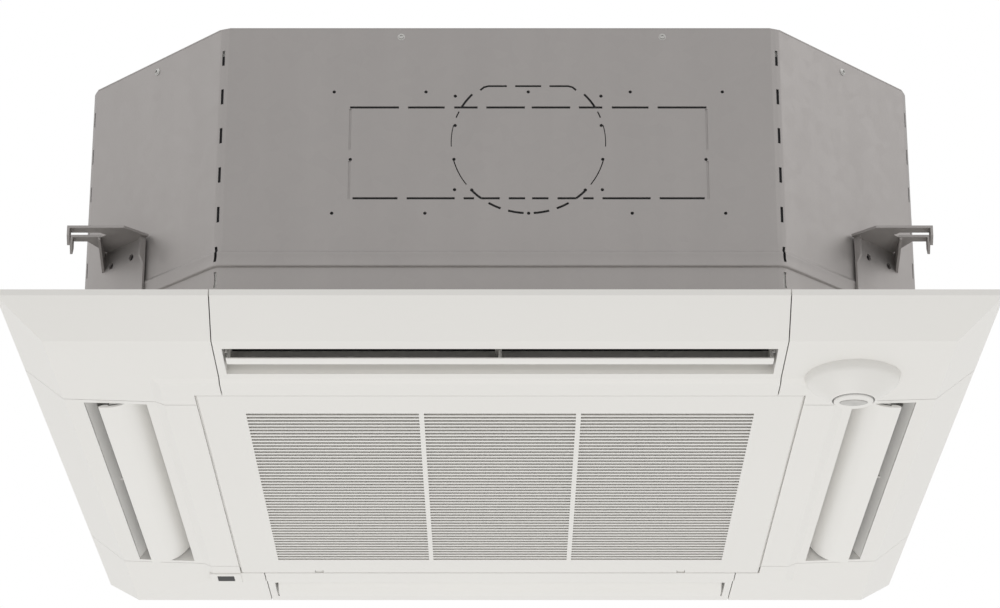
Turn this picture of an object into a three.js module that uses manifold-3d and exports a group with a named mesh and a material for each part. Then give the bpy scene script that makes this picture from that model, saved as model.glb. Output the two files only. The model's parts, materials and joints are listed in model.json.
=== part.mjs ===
// Four-way ceiling cassette air conditioner: a flat square panel under an octagonal sheet-metal casing.
// Millimetres, +Z up. The origin is the centre of the ceiling plane, which is the top face of the panel's rim.
// -Y is the near side, +X the right. A "half" is a distance from the centre line.
import * as THREE from "three";
import { mergeVertices } from "three/addons/utils/BufferGeometryUtils.js";
import Module from "manifold-3d";

const wasm = await Module();
wasm.setup();

// Clearances
const GAP = 0.3; // between pieces that touch on the real unit
const RUN_GAP = 0.3; // round a pin that turns in a hole
const SEAM = 1.1; // visible joint between mouldings
const THROUGH = 4; // how far a cutter runs past the face it cuts

// Sides of a turned shape
const ROUND = 32;
const SMALL_ROUND = 12;
const TUBE_SIDES = 8;

// Panel
const PANEL_HALF = 475;
const PANEL_WALL = 3;
const RIM_HEIGHT = 6;
const BEVEL_WIDTH = 40;
const BEVEL_DROP = 31; // below the rim
const STEP_FROM_OUTLET = 10; // from the outlet to the small step
const STEP_WIDTH = 9;
const STEP_DROP = 34; // below the rim, at the outer side of the step
const FACE_DROP = 37.5; // below the rim, at the inner side of the step
const WEB_THICKNESS = 8; // end wall of an outlet
const COVER_LENGTH = 201; // side of a corner cover
const TRAY_TOP = -1;
const TRAY_THICKNESS = 3;
const COVER_POST_INSET = 62; // from the panel's edge
const COVER_POST_RADIUS = 5;

// Intake grille
const GRILLE_INSET = 172.8; // from the panel's edge to the grille's opening
const GRILLE_SEAM = 1.1;
const GRILLE_BORDER = 46;
const GRILLE_THICKNESS = 6;
const GRILLE_LIP = 9; // upturned edge above the face plate
const GRILLE_LIP_WALL = 3;
const GRILLE_CHAMFER = 1.5;
const SLAT_PITCH = 9.67;
const SLAT_WIDTH = 4.2;
const SLAT_LEAN = 6; // each slot leans towards +Y by this much over the plate's thickness
const RIB_HALF = 79; // centre of each long rib
const RIB_WIDTH = 5;
const HINGE_RADIUS = 2;
const HINGE_FROM_EDGE = 4.7;
const HINGE_RISE = 4.5; // above the grille's face
const HINGE_FROM_CORNER = 90.7; // to the centre of each hinge lug
const HINGE_LUG_WIDTH = 8;
const HINGE_LUG_RADIUS = 4.2;
const HINGE_NOTCH_GAP = 1; // free space on each side of a lug
const HINGE_PIN_GRIP = 12; // how far a pin reaches into the grille on each side
const CATCH_FROM_CORNER = 100.7;
const CATCH_WIDTH = 30;
const CATCH_LENGTH = 16;
const CATCH_HEIGHT = 5;
const CATCH_TONGUE = 4.2; // how far the tongue reaches past the grille
const CATCH_TONGUE_WIDTH = 12;
const CATCH_TRAVEL = 5;
const FILTER_GAP = 2.4; // to a catch that is drawn back
const FILTER_HEIGHT = 6;
const FILTER_BORDER = 8;
const FILTER_NET = 1;
const FILTER_BAYS = 4;

// Outlets and vanes
const OUTLET_INSET = 59; // from the panel's edge
const OUTLET_WIDTH = 63;
const THROAT_RISE = 8; // straight part of the duct above the panel's face
const THROAT_STEP = 8; // then the outer wall slopes in by this much
const THROAT_SLOPE = 10; // over this height
const PIVOT_FROM_OUTLET = 36; // from the outlet's outer wall
const PIVOT_DROP = 19; // below the rim
const VANE_THICKNESS = 3;
const VANE_LIP = 1; // the skin thins to this at its outer lip
const VANE_END_GAP = 3;
const VANE_RIB = 3;
const VANE_PIN_RADIUS = 3;
const VANE_PIN_IN_MOTOR = 7;
const VANE_BOSS_RADIUS = 5;
// Face of the vane from its outer lip to its inner edge, measured from the pivot: outwards, up
const VANE_FACE = [
  [21.5, -17],
  [8, -16.6],
  [-2.5, -13.8],
  [-13, -7.2],
  [-24.6, 5.4],
];
const VANE_FACE_STEPS = 7;
const STAY_THICKNESS = 3; // bearing arm at mid-length of a vane
const STAY_HEIGHT = 6;
const STAY_PIN_RADIUS = 1.7;
const BUSH_RADIUS = 6;
const MOTOR_CAN_RADIUS = 13;
const MOTOR_CAN_LENGTH = 15;
const MOTOR_CAN_RISE = 5.5; // the can stands above its output

// Presence sensor on the near right corner, receiver on the far left corner
const SENSOR_INSET = 131; // from the panel's edges
const SENSOR_RADIUS = 45;
const SENSOR_WALL_DROP = 41; // below the rim
const SENSOR_CONE_DROP = 58;
const SENSOR_DROP = 60;
const SENSOR_DISC_RADIUS = 19.4;
const SENSOR_NECK_RADIUS = 6.6;
const SENSOR_CLIP_RADIUS = 9;
const SENSOR_WALL = 3;
const SENSOR_HEAD_DEPTH = 9;
const LENS_LENGTH = 27;
const LENS_WIDTH = 16;
const LENS_DEPTH = 1.6;
const LENS_PROUD = 0.5;
const RECEIVER_MARGIN = 0.3; // from the grille's opening to the pad
const RECEIVER_PAD = 36;
const RECEIVER_PAD_RISE = 1.2;
const RECEIVER_WIDTH = 19;
const RECEIVER_THICKNESS = 2;

// Casing
const CASING_INSET = 55; // from the panel's edge to the casing
const BODY_BOTTOM = 4;
const BODY_HEIGHT = 298;
const CHAMFER_CUT = 146; // cut off each corner of the casing
const FACET = 6.2; // each bend of the casing is a small facet
const SHEET = 1.2;
const BEAD_TOP = 61.4;
const BEAD_HEIGHT = 16;
const BEAD_SLOPE = 3;
const BEAD_PROUD = 2;
const BEND_SLOT_LENGTH = 16.4;
const BEND_SLOT_WIDTH = 3;
const BEND_SLOT_PITCH = 42.1;
const BEND_SLOT_COUNT = 6;
const BEND_SLOT_FIRST = 59;
const BEND_SLOT_LOWEST = 32.5;
const KNOCKOUT_X = 28;
const KNOCKOUT_Z = 166;
const KNOCKOUT_HEIGHT = 97.6;
const KNOCKOUT_SLOT = 2.4;
// Slots on one side of the knock-out's centre line, from and to
const KNOCKOUT_TOP_SLOTS = [
  [3.6, 41.2],
  [49.8, 72.8],
  [82.2, 118.2],
  [127.2, 175],
];
const KNOCKOUT_BOTTOM_SLOTS = [
  [3.4, 19],
  [28.3, 46.7],
  [53, 63],
  [72, 118.3],
  [127.6, 171],
];
const ROUND_KNOCKOUT_Z = 177.4;
const ROUND_KNOCKOUT_RADIUS = 75.7;
const ROUND_KNOCKOUT_SLOTS = 12;
const ROUND_KNOCKOUT_FILL = 0.7; // share of the circle that is slotted
const SCREW_HOLE_RADIUS = 1.6;
const SCREW_HOLE_COLUMNS = [-163, -73, 28, 128, 219];
const SCREW_HOLE_ROWS = [101.7, 231.9];
const TOP_FLANGE = 16;
const TOP_BEAD_RADIUS = 190;
const TOP_BEAD_WIDTH = 16;
const TOP_BEAD_HEIGHT = 3;
const LINER_THICKNESS = 12;
const TOP_FOAM_THICKNESS = 28;

// Hanger brackets, in the corner where X and Y are positive, measured from the middle of the chamfer
const BRACKET_TOP = 110;
const BRACKET_SHEET = 2.5;
const BRACKET_REACH = 78;
const BRACKET_SHOULDER = 22;
const BRACKET_SLOT = 11;
const BRACKET_SLOT_DEPTH = 31;
const BRACKET_OUTER_PRONG = 12.5;
const BRACKET_INNER_PRONG = 11.5;
const BRACKET_ROOT = 32; // how much wider the fork is where it meets the casing
const BRACKET_TAB = 16;
const BRACKET_PLATE_BOTTOM = 14;
const BRACKET_PLATE_WIDTH = 70;
const BRACKET_PLATE_SHIFT = 39; // along the chamfer, towards the arm's end
const BRACKET_HOLE_HALF = 16;
const BRACKET_HOLE_DROP = 19; // below the arm
const BRACKET_HOLE_RADIUS = 3.4;
const BRACKET_BIG_HOLE_RADIUS = 9;
const BRACKET_BIG_HOLE_RISE = 26; // above the plate's foot
const BRACKET_FLANGE = 7;
const BRACKET_FLANGE_DROP = 20; // below the arm
const BRACKET_GUSSET_X = 48; // from the middle of the chamfer to the web under the arm
const BRACKET_GUSSET_LENGTH = 46; // ends short of the slot

// Inside the casing
const PAN_TOP = 50;
const PAN_TROUGH_FLOOR = 20;
const GASKET_MARGIN = 6; // past the ducts
const DUCT_WIDTH = 62;
const COIL_FROM_DUCT = 14.2;
const COIL_DEPTH = 38;
const COIL_OPEN = 125; // cut off the coil's open corner
const COIL_CORNER = 46;
const COIL_ROOM = 8; // from the coil to the side of the trough
const END_PLATE = 1.6;
const END_PLATE_MARGIN = 4;
const BELL_FROM_TROUGH = 46;
const BELL_FLARE = 43; // flange radius less throat radius
const BELL_LIP = 6; // straight part above the flare
const BELL_HEIGHT = 42;
const BELL_WALL = 2.5;
const FAN_FROM_COIL = 47;
const FAN_INLET_GAP = 5.5; // round the bell mouth
const FAN_END_GAP = 0.7; // above the bell mouth
const FAN_PLATE = 4;
const FAN_BLADES = 7;
const FAN_BLADE_CHORD = 95;
const FAN_BLADE_THICKNESS = 5;
const FAN_HUB_RADIUS = 22;
const FAN_HUB_DEPTH = 26;
const SHAFT_RADIUS = 5;
const SHAFT_IN_MOTOR = 30;
const NUT_ACROSS = 18;
const NUT_HEIGHT = 9;
const MOTOR_RADIUS = 75;
const MOTOR_HEIGHT = 78.5;
const MOTOR_GAP = 13; // from the fan to the motor
const MOTOR_FLANGE_RADIUS = 100;
const MOTOR_FLANGE = 4;

// Pipes through the back wall
const PIPE_FROM_COIL = 35;
const GAS_Z = 170;
const LIQUID_Z = 110;
const GAS_RADIUS = 8;
const LIQUID_RADIUS = 4.8;
const GAS_NUT_ACROSS = 29;
const LIQUID_NUT_ACROSS = 20;
const PIPE_NUT_LENGTH = 20;
const PIPE_REACH = 42; // past the casing
const PIPE_PLATE_WIDTH = 46;
const PIPE_PLATE_MARGIN = 6;
const PIPE_BEND = 26;
const PIPE_PLATE_HEIGHT = 116;
const PIPE_PLATE_THICKNESS = 2;
const DRAIN_X = -120;
const DRAIN_Z = 205;
const DRAIN_RADIUS = 16;
const DRAIN_BORE_RADIUS = 12.5;
const DRAIN_INSIDE = 22; // how far the socket reaches into the casing
const PUMP_FROM_COIL = 26; // its centre in the open corner of the coil
const PUMP_RADIUS = 32;
const PUMP_HEIGHT = 66; // above the pan
const PUMP_INTAKE_RADIUS = 14;
const HOSE_RADIUS = 9;
const HOSE_FROM_LINER = 38;
const FLOAT_FROM_PIPE = 26;
const FLOAT_RADIUS = 11;
const FLOAT_HEIGHT = 14;
const FLOAT_TRAVEL = 8;
const FLOAT_ROD_RADIUS = 3;
const FLOAT_FOOT_RADIUS = 9;
const FLOAT_FOOT_HEIGHT = 8;

// Control box beside the bell mouth
const BOX_FROM_OPENING = 4.2;
const BOX_WIDTH = 52;
const BOX_HALF_LENGTH = 150;
const BOX_HEIGHT = 26;
const BOX_WALL = 1.6;
const BOX_COVER = 1.6;
const BOARD_THICKNESS = 1.6;
const BOARD_STANDOFF = 7;
const BOARD_CLEARANCE = 4;
const BOARD_POST_RADIUS = 3;

// Worked out from the above: panel
const PANEL_FACE = -RIM_HEIGHT - FACE_DROP;
const COVER_SEAM_HALF = PANEL_HALF - COVER_LENGTH;
const OPENING_HALF = PANEL_HALF - GRILLE_INSET;
const OUTLET_OUTER = PANEL_HALF - OUTLET_INSET;
const OUTLET_INNER = OUTLET_OUTER - OUTLET_WIDTH;
const OUTLET_HALF_LENGTH = COVER_SEAM_HALF - WEB_THICKNESS;
const STEP_HALF = OUTLET_INNER - STEP_FROM_OUTLET;
const PIVOT = [OUTLET_OUTER - PIVOT_FROM_OUTLET, -RIM_HEIGHT - PIVOT_DROP];
const VANE_HALF = OUTLET_HALF_LENGTH - VANE_END_GAP;
const WEB_OUTER = COVER_SEAM_HALF;
const WEB_INNER = COVER_SEAM_HALF - WEB_THICKNESS;
const SENSOR_HALF = PANEL_HALF - SENSOR_INSET;
const RECEIVER_HALF = OPENING_HALF + RECEIVER_MARGIN + RECEIVER_PAD / 2;

// Grille
const GRILLE_HALF = OPENING_HALF - GRILLE_SEAM;
const GRILLE_FACE = PANEL_FACE;
const GRILLE_TOP = GRILLE_FACE + GRILLE_THICKNESS;
const HINGE = [GRILLE_HALF - HINGE_FROM_EDGE, GRILLE_FACE + HINGE_RISE];
const HINGE_HALF = GRILLE_HALF - HINGE_FROM_CORNER;
const CATCH_HALF = GRILLE_HALF - CATCH_FROM_CORNER;
const CATCH_BACK = GRILLE_HALF - GRILLE_LIP_WALL - GAP - CATCH_LENGTH;
const FILTER_HALF = CATCH_BACK - CATCH_TRAVEL - FILTER_GAP;

// Casing
const BODY_HALF = PANEL_HALF - CASING_INSET;
const CHAMFER_HALF = BODY_HALF - CHAMFER_CUT;
const CHAMFER_SUM = BODY_HALF + CHAMFER_HALF; // X plus Y along the chamfer's outer face
const BODY_TOP = BODY_BOTTOM + BODY_HEIGHT;
const WALL_TOP = BODY_TOP - SHEET - GAP;
const LINER_OUTER = BODY_HALF - SHEET - GAP;
const DUCT_OUTER = LINER_OUTER - LINER_THICKNESS - GAP;
const DUCT_INNER = DUCT_OUTER - DUCT_WIDTH;
const DUCT_HALF_LENGTH = OUTLET_HALF_LENGTH;
const TOP_FOAM_TOP = BODY_TOP - SHEET - GAP;
const TOP_FOAM_BOTTOM = TOP_FOAM_TOP - TOP_FOAM_THICKNESS;

// Coil, bell mouth, fan and motor
const COIL_HALF = DUCT_INNER - COIL_FROM_DUCT;
const COIL_INNER = COIL_HALF - COIL_DEPTH;
const COIL_OPEN_HALF = COIL_HALF - COIL_OPEN;
const COIL_BOTTOM = PAN_TROUGH_FLOOR + GAP;
const COIL_TOP = TOP_FOAM_BOTTOM - GAP;
const BELL_FLANGE_RADIUS = COIL_INNER - COIL_ROOM - BELL_FROM_TROUGH;
const BELL_THROAT_RADIUS = BELL_FLANGE_RADIUS - BELL_FLARE;
const BELL_FOOT = BODY_BOTTOM + GAP;
const BELL_TOP = BELL_FOOT + BELL_HEIGHT + BELL_LIP;
const MOTOR_BOTTOM = TOP_FOAM_TOP - MOTOR_HEIGHT;
const FAN_RADIUS = COIL_INNER - FAN_FROM_COIL;
const FAN_INLET_RADIUS = BELL_THROAT_RADIUS + BELL_WALL + FAN_INLET_GAP;
const FAN_BOTTOM = BELL_TOP + FAN_END_GAP;
const FAN_TOP = MOTOR_BOTTOM - MOTOR_GAP;

// Pipes, pump and control box
const PIPE_X = -COIL_OPEN_HALF - PIPE_FROM_COIL;
const PIPE_Y = COIL_HALF - COIL_DEPTH / 2;
const PIPE_END = BODY_HALF + PIPE_REACH;
const DRAIN_START = BODY_HALF - DRAIN_INSIDE;
const HOSE_LINE = DUCT_OUTER - HOSE_FROM_LINER;
const PUMP_HALF = COIL_HALF - PUMP_FROM_COIL;
const FLOAT_X = PIPE_X - FLOAT_FROM_PIPE;
const FLOAT_Y = PIPE_Y;
const BOX_OUTER = OPENING_HALF - BOX_FROM_OPENING;
const BOX_INNER = BOX_OUTER - BOX_WIDTH;

// Finishes
const finish = (color, roughness, metalness = 0) =>
  new THREE.MeshStandardMaterial({ color, roughness, metalness });
const WHITE_PLASTIC = finish(0xe6e5e0, 0.42);
const GREY_PLASTIC = finish(0xa9abab, 0.5);
const DARK_PLASTIC = finish(0x35363a, 0.45);
const LENS_PLASTIC = finish(0x8e9296, 0.2);
const GALVANISED = finish(0x9a9794, 0.5, 0.85);
const STEEL = finish(0xb4b4b2, 0.35, 1);
const BRASS = finish(0xc1a55f, 0.35, 1);
const COPPER = finish(0xb8734f, 0.35, 1);
const FINS = finish(0xc6cacc, 0.4, 0.9);
const FOAM = finish(0x3b3c3e, 0.9);
const WHITE_FOAM = finish(0xf1f1ee, 0.85);
const NET = finish(0x5b6672, 0.8);
const BOARD_GREEN = finish(0x2e6b46, 0.5);

// A closed three.js geometry as a solid that can be joined and cut.
function solid(geometry) {
  const bare = geometry.clone();
  bare.deleteAttribute("normal");
  bare.deleteAttribute("uv");
  const merged = mergeVertices(bare, 1e-4);
  const corners = merged.index.array;
  const kept = [];
  for (let i = 0; i < corners.length; i += 3) {
    const [a, b, c] = corners.subarray(i, i + 3);
    if (a !== b && b !== c && c !== a) kept.push(a, b, c);
  }
  return new wasm.Manifold(
    new wasm.Mesh({
      numProp: 3,
      vertProperties: new Float32Array(merged.attributes.position.array),
      triVerts: new Uint32Array(kept),
    }),
  );
}

function geometryOf(shape) {
  const { vertProperties, triVerts } = shape.getMesh();
  const geometry = new THREE.BufferGeometry()
    .setAttribute("position", new THREE.BufferAttribute(vertProperties, 3))
    .setIndex(new THREE.BufferAttribute(triVerts, 1));
  geometry.computeVertexNormals();
  return geometry;
}

const join = (...shapes) => shapes.flat().reduce((all, shape) => all.add(shape));
const cut = (base, ...tools) => tools.flat().reduce((left, tool) => left.subtract(tool), base);
const turn = (shape, degrees) => shape.rotate([0, 0, degrees]);
const onFourSides = (shape) => [0, 90, 180, 270].map((degrees) => turn(shape, degrees));
const inFourCorners = (shape) =>
  [[1, 1], [-1, 1], [-1, -1], [1, -1]].map(([x, y]) => mirrored(shape, x, y));

function mirrored(shape, x, y) {
  return shape.scale([x, y, 1]);
}

function block([x0, x1], [y0, y1], [z0, z1]) {
  const box = new THREE.BoxGeometry(x1 - x0, y1 - y0, z1 - z0);
  return solid(box.translate((x0 + x1) / 2, (y0 + y1) / 2, (z0 + z1) / 2));
}

const asPoints = (list) => list.map(([x, y]) => new THREE.Vector2(x, y));

function extruded(outline, from, to, holes = []) {
  const shape = new THREE.Shape(asPoints(outline));
  shape.holes = holes.map((hole) => new THREE.Path(asPoints(hole)));
  const options = { depth: to - from, bevelEnabled: false };
  return new THREE.ExtrudeGeometry(shape, options).translate(0, 0, from);
}

// An outline in X and Y, from one height to another.
const upright = (outline, from, to, holes) => solid(extruded(outline, from, to, holes));

// A section in Y and Z, from one X to another.
function alongX(section, from, to) {
  const [x, y, z] = [[0, 1, 0], [0, 0, 1], [1, 0, 0]].map((axis) => new THREE.Vector3(...axis));
  return solid(extruded(section, from, to).applyMatrix4(new THREE.Matrix4().makeBasis(x, y, z)));
}

function signedArea(points) {
  return points.reduce((sum, [x, y], i) => {
    const [nextX, nextY] = points[(i + 1) % points.length];
    return sum + (x * nextY - nextX * y) / 2;
  }, 0);
}

// A profile of radius and height, turned round the Z axis. It closes on itself or on the axis.
function turned(profile, sides = ROUND, start = 0) {
  const ordered = signedArea(profile) > 0 ? profile : [...profile].reverse();
  const closed = [...ordered, ordered[0]];
  const geometry = new THREE.LatheGeometry(asPoints(closed), sides, start);
  const shape = solid(geometry.rotateX(Math.PI / 2));
  return shape.volume() < 0 ? solid(flipped(geometry)) : shape;
}

function flipped(geometry) {
  const index = geometry.index.array;
  for (let i = 0; i < index.length; i += 3)
    [index[i], index[i + 1]] = [index[i + 1], index[i]];
  return geometry;
}

// A profile of half-width and height, run round a square with mitred corners.
function roundSquare(profile) {
  return turned(profile.map(([half, z]) => [half * Math.SQRT2, z]), 4, Math.PI / 4);
}

const rod = (radius, from, to, sides = SMALL_ROUND) =>
  turned([[0, from], [radius, from], [radius, to], [0, to]], sides);

const rodAlongX = (radius, from, to, sides = SMALL_ROUND) => rod(radius, from, to, sides).rotate([0, 90, 0]);
const rodAlongY = (radius, from, to, sides = SMALL_ROUND) => rod(radius, from, to, sides).rotate([-90, 0, 0]);

// Moves each point of a path sideways, to its left, keeping the corners mitred.
function offset(path, distance, isClosed = false) {
  const count = path.length;
  const normal = (i) => {
    const [x0, y0] = path[(i + count) % count];
    const [x1, y1] = path[(i + 1) % count];
    const length = Math.hypot(x1 - x0, y1 - y0);
    return [(y0 - y1) / length, (x1 - x0) / length];
  };
  return path.map(([x, y], i) => {
    const before = isClosed || i > 0 ? normal(i - 1) : normal(i);
    const after = isClosed || i < count - 1 ? normal(i) : normal(i - 1);
    const scale = distance / (1 + before[0] * after[0] + before[1] * after[1]);
    return [x + (before[0] + after[0]) * scale, y + (before[1] + after[1]) * scale];
  });
}

const unit = new THREE.Group();

function add(name, shape, material, parent = unit) {
  const mesh = new THREE.Mesh(geometryOf(shape), material);
  mesh.name = name;
  parent.add(mesh);
  return mesh;
}

// ---- Panel ----

// Lower surface of the panel from the rim's top to the grille's opening, as half-width and height.
const panelSurface = [
  [PANEL_HALF, 0],
  [PANEL_HALF, -RIM_HEIGHT],
  [PANEL_HALF - BEVEL_WIDTH, -RIM_HEIGHT - BEVEL_DROP],
  [STEP_HALF, -RIM_HEIGHT - STEP_DROP],
  [STEP_HALF - STEP_WIDTH, PANEL_FACE],
  [OPENING_HALF, PANEL_FACE],
  [OPENING_HALF, 0],
];

// The space that the panel encloses, drawn in by a distance from its surface.
const panelSpace = (inwards) => roundSquare(offset(panelSurface, -inwards));

const panelSkin = roundSquare([...panelSurface, ...offset(panelSurface, -PANEL_WALL).reverse()]);

const corner = (from, low, high) =>
  block([from, PANEL_HALF + THROUGH], [from, PANEL_HALF + THROUGH], [low, high]);
const belowPanel = PANEL_FACE - THROUGH;

// Section of an outlet's air way, as distance from the centre and height, grown by a wall.
function ductSection(grow) {
  const bottom = belowPanel - grow;
  const throat = PANEL_FACE + THROAT_RISE;
  return [
    [OUTLET_INNER - grow, bottom],
    [OUTLET_OUTER + grow, bottom],
    [OUTLET_OUTER + grow, throat],
    [OUTLET_OUTER - THROAT_STEP + grow, throat + THROAT_SLOPE],
    [DUCT_OUTER + grow, THROUGH],
    [DUCT_INNER - grow, THROUGH],
    [OUTLET_INNER - grow, throat],
  ];
}

const ductWall = alongX(ductSection(PANEL_WALL), -WEB_OUTER, WEB_OUTER);
const ductHole = alongX(ductSection(0), -OUTLET_HALF_LENGTH, OUTLET_HALF_LENGTH);

// Bearing arm from the outlet's outer wall to the vane's pivot, with its pin.
function vaneStay() {
  const from = VANE_RIB / 2 + GAP;
  const to = from + STAY_THICKNESS;
  const half = STAY_HEIGHT / 2;
  const arm = block(
    [from, to],
    [PIVOT[0] - half, OUTLET_OUTER - THROAT_STEP + PANEL_WALL],
    [PIVOT[1] - half, PIVOT[1] + half],
  );
  const pin = rodAlongX(STAY_PIN_RADIUS, -VANE_RIB / 2 - GAP, from);
  return join(arm, pin.translate([0, ...PIVOT]));
}

// Lug for a grille hinge pin, in the plane where Y points to the hinge side.
function hingeLug() {
  const [y, z] = HINGE;
  const half = HINGE_LUG_WIDTH / 2;
  const eye = rodAlongX(HINGE_LUG_RADIUS, -half, half).translate([0, y, z]);
  const arm = block([-half, half], [y, OPENING_HALF + PANEL_WALL], [z, z + HINGE_LUG_RADIUS]);
  const bore = rodAlongX(HINGE_RADIUS + RUN_GAP, -half - THROUGH, half + THROUGH);
  return cut(join(eye, arm), bore.translate([0, y, z]));
}

function catchSlot(x) {
  const half = CATCH_TONGUE_WIDTH / 2 + GAP;
  const outer = OPENING_HALF + PANEL_WALL + THROUGH;
  const low = GRILLE_TOP;
  return block([x - half, x + half], [-outer, -OPENING_HALF + THROUGH], [low, low + CATCH_HEIGHT + 2 * GAP]);
}

function panelFrame() {
  const space = panelSpace(0);
  const inner = panelSpace(PANEL_WALL + GAP);
  const corners = inFourCorners(corner(COVER_SEAM_HALF, belowPanel, THROUGH));
  const webSlab = block(
    [WEB_INNER, WEB_OUTER],
    [OPENING_HALF, PANEL_HALF + THROUGH],
    [belowPanel, THROUGH],
  );
  const web = webSlab.intersect(space);
  const webs = onFourSides(join(web, mirrored(web, -1, 1)));
  const tray = corner(WEB_INNER, TRAY_TOP - TRAY_THICKNESS, TRAY_TOP).intersect(inner);
  const walls = onFourSides(ductWall.intersect(space));
  const holes = onFourSides(ductHole);
  const pinHole = rodAlongX(VANE_PIN_RADIUS + RUN_GAP, 0, WEB_OUTER + THROUGH);
  const bushHole = rodAlongX(BUSH_RADIUS + GAP, -WEB_OUTER - THROUGH, 0);
  const bores = join(pinHole, bushHole).translate([0, ...PIVOT]);
  const lug = hingeLug();
  const shell = join(cut(panelSkin, corners), webs, inFourCorners(tray), walls);
  const open = cut(shell, holes, onFourSides(bores), catchSlot(CATCH_HALF), catchSlot(-CATCH_HALF));
  return join(
    open,
    onFourSides(vaneStay()),
    lug.translate([HINGE_HALF, 0, 0]),
    lug.translate([-HINGE_HALF, 0, 0]),
  );
}
add("panel_frame", panelFrame(), WHITE_PLASTIC);

// Corner cover in the corner where X and Y are positive.
function cornerCover() {
  const from = COVER_SEAM_HALF + SEAM;
  const skin = panelSkin.intersect(corner(from, belowPanel, THROUGH));
  const flangeTop = TRAY_TOP - TRAY_THICKNESS - GAP;
  const flange = block([from, from + PANEL_WALL], [from, PANEL_HALF], [belowPanel, flangeTop]);
  const flanges = join(flange, flange.mirror([1, -1, 0])).intersect(panelSpace(0));
  const at = PANEL_HALF - COVER_POST_INSET;
  const floor = -RIM_HEIGHT - BEVEL_DROP + 1;
  const post = rod(COVER_POST_RADIUS, floor, flangeTop).translate([at, at, 0]);
  return join(skin, flanges, post);
}

// Room for a vane motor where it stands through a cover's flange, beside the outlet on the +Y side.
function motorRoom(side) {
  const room = rodAlongX(MOTOR_CAN_RADIUS + 2 * GAP, 0, MOTOR_CAN_LENGTH + THROUGH, ROUND / 2);
  return mirrored(room.translate([WEB_OUTER, PIVOT[0], PIVOT[1] + MOTOR_CAN_RISE]), side, 1);
}

const bushRoom = rodAlongX(BUSH_RADIUS + 2 * GAP, -WEB_OUTER - THROUGH, -WEB_OUTER).translate([0, ...PIVOT]);
const motorRooms = onFourSides(join(motorRoom(1), bushRoom));

const receiverSpot = [-RECEIVER_HALF, RECEIVER_HALF];
const sensorSpot = [SENSOR_HALF, -SENSOR_HALF];

function square(half, low, high, [x, y]) {
  return block([x - half, x + half], [y - half, y + half], [low, high]);
}

const corners = { far_right: [1, 1], far_left: [-1, 1], near_left: [-1, -1], near_right: [1, -1] };
for (const [place, [x, y]] of Object.entries(corners)) {
  let cover = cut(mirrored(cornerCover(), x, y), motorRooms);
  if (place === "far_left") {
    const padFace = PANEL_FACE - RECEIVER_PAD_RISE;
    const pad = square(RECEIVER_PAD / 2, padFace, PANEL_FACE + PANEL_WALL, receiverSpot);
    const room = RECEIVER_WIDTH / 2 + GAP;
    const pocket = square(room, padFace - THROUGH, padFace + RECEIVER_THICKNESS + GAP, receiverSpot);
    cover = cut(join(cover, pad), pocket);
  }
  add(`corner_cover_${place}`, cover, WHITE_PLASTIC);
}

const windowFace = PANEL_FACE - RECEIVER_PAD_RISE;
const receiverWindow = square(RECEIVER_WIDTH / 2, windowFace, windowFace + RECEIVER_THICKNESS, receiverSpot);
add("receiver_window", receiverWindow, DARK_PLASTIC);

// ---- Presence sensor ----

const sensor = new THREE.Group();
sensor.position.set(...sensorSpot, 0);
unit.add(sensor);

const discFace = -RIM_HEIGHT - SENSOR_DROP;
const coneFoot = -RIM_HEIGHT - SENSOR_CONE_DROP;
const wallFoot = -RIM_HEIGHT - SENSOR_WALL_DROP;
const bearingFace = discFace + SENSOR_HEAD_DEPTH; // lower side of the plate that carries the turning head
const bearingTop = bearingFace + SENSOR_WALL;

function sensorDome() {
  const bore = SENSOR_DISC_RADIUS + RUN_GAP;
  const inside = SENSOR_RADIUS - SENSOR_WALL - 1;
  const dome = turned([
    [SENSOR_RADIUS, 0],
    [SENSOR_RADIUS, wallFoot],
    [bore + SENSOR_WALL / 2, coneFoot],
    [bore, coneFoot],
    [bore, bearingFace],
    [SENSOR_NECK_RADIUS + RUN_GAP, bearingFace],
    [SENSOR_NECK_RADIUS + RUN_GAP, bearingTop],
    [bore + 2 * SENSOR_WALL, bearingTop],
    [inside, wallFoot + 1],
    [inside, 0],
  ]);
  const [x, y] = sensorSpot;
  return cut(dome, panelSpace(-GAP).translate([-x, -y, 0]));
}
add("sensor_dome", sensorDome(), WHITE_PLASTIC, sensor);

const ellipse = (length, width, sides = ROUND * 0.75) =>
  Array.from({ length: sides }, (_, i) => {
    const angle = (2 * Math.PI * i) / sides;
    return [(length / 2) * Math.cos(angle), (width / 2) * Math.sin(angle)];
  });

function sensorHead() {
  const clipFoot = bearingTop + GAP;
  const body = turned([
    [0, discFace],
    [SENSOR_DISC_RADIUS - 1, discFace],
    [SENSOR_DISC_RADIUS, discFace + 1],
    [SENSOR_DISC_RADIUS, bearingFace - GAP],
    [SENSOR_NECK_RADIUS, bearingFace - GAP],
    [SENSOR_NECK_RADIUS, clipFoot],
    [SENSOR_CLIP_RADIUS, clipFoot],
    [SENSOR_CLIP_RADIUS, clipFoot + 1.5],
    [0, clipFoot + 1.5],
  ], ROUND);
  const pocket = ellipse(LENS_LENGTH + 2 * GAP, LENS_WIDTH + 2 * GAP);
  return cut(body, upright(pocket, discFace - THROUGH, discFace + LENS_DEPTH));
}
add("sensor_head", sensorHead(), WHITE_PLASTIC, sensor);
const lensTop = discFace + LENS_DEPTH - GAP;
add("sensor_lens", upright(ellipse(LENS_LENGTH, LENS_WIDTH), discFace - LENS_PROUD, lensTop), LENS_PLASTIC, sensor);

// ---- Intake grille, filter, hinge pins and catches ----

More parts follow.
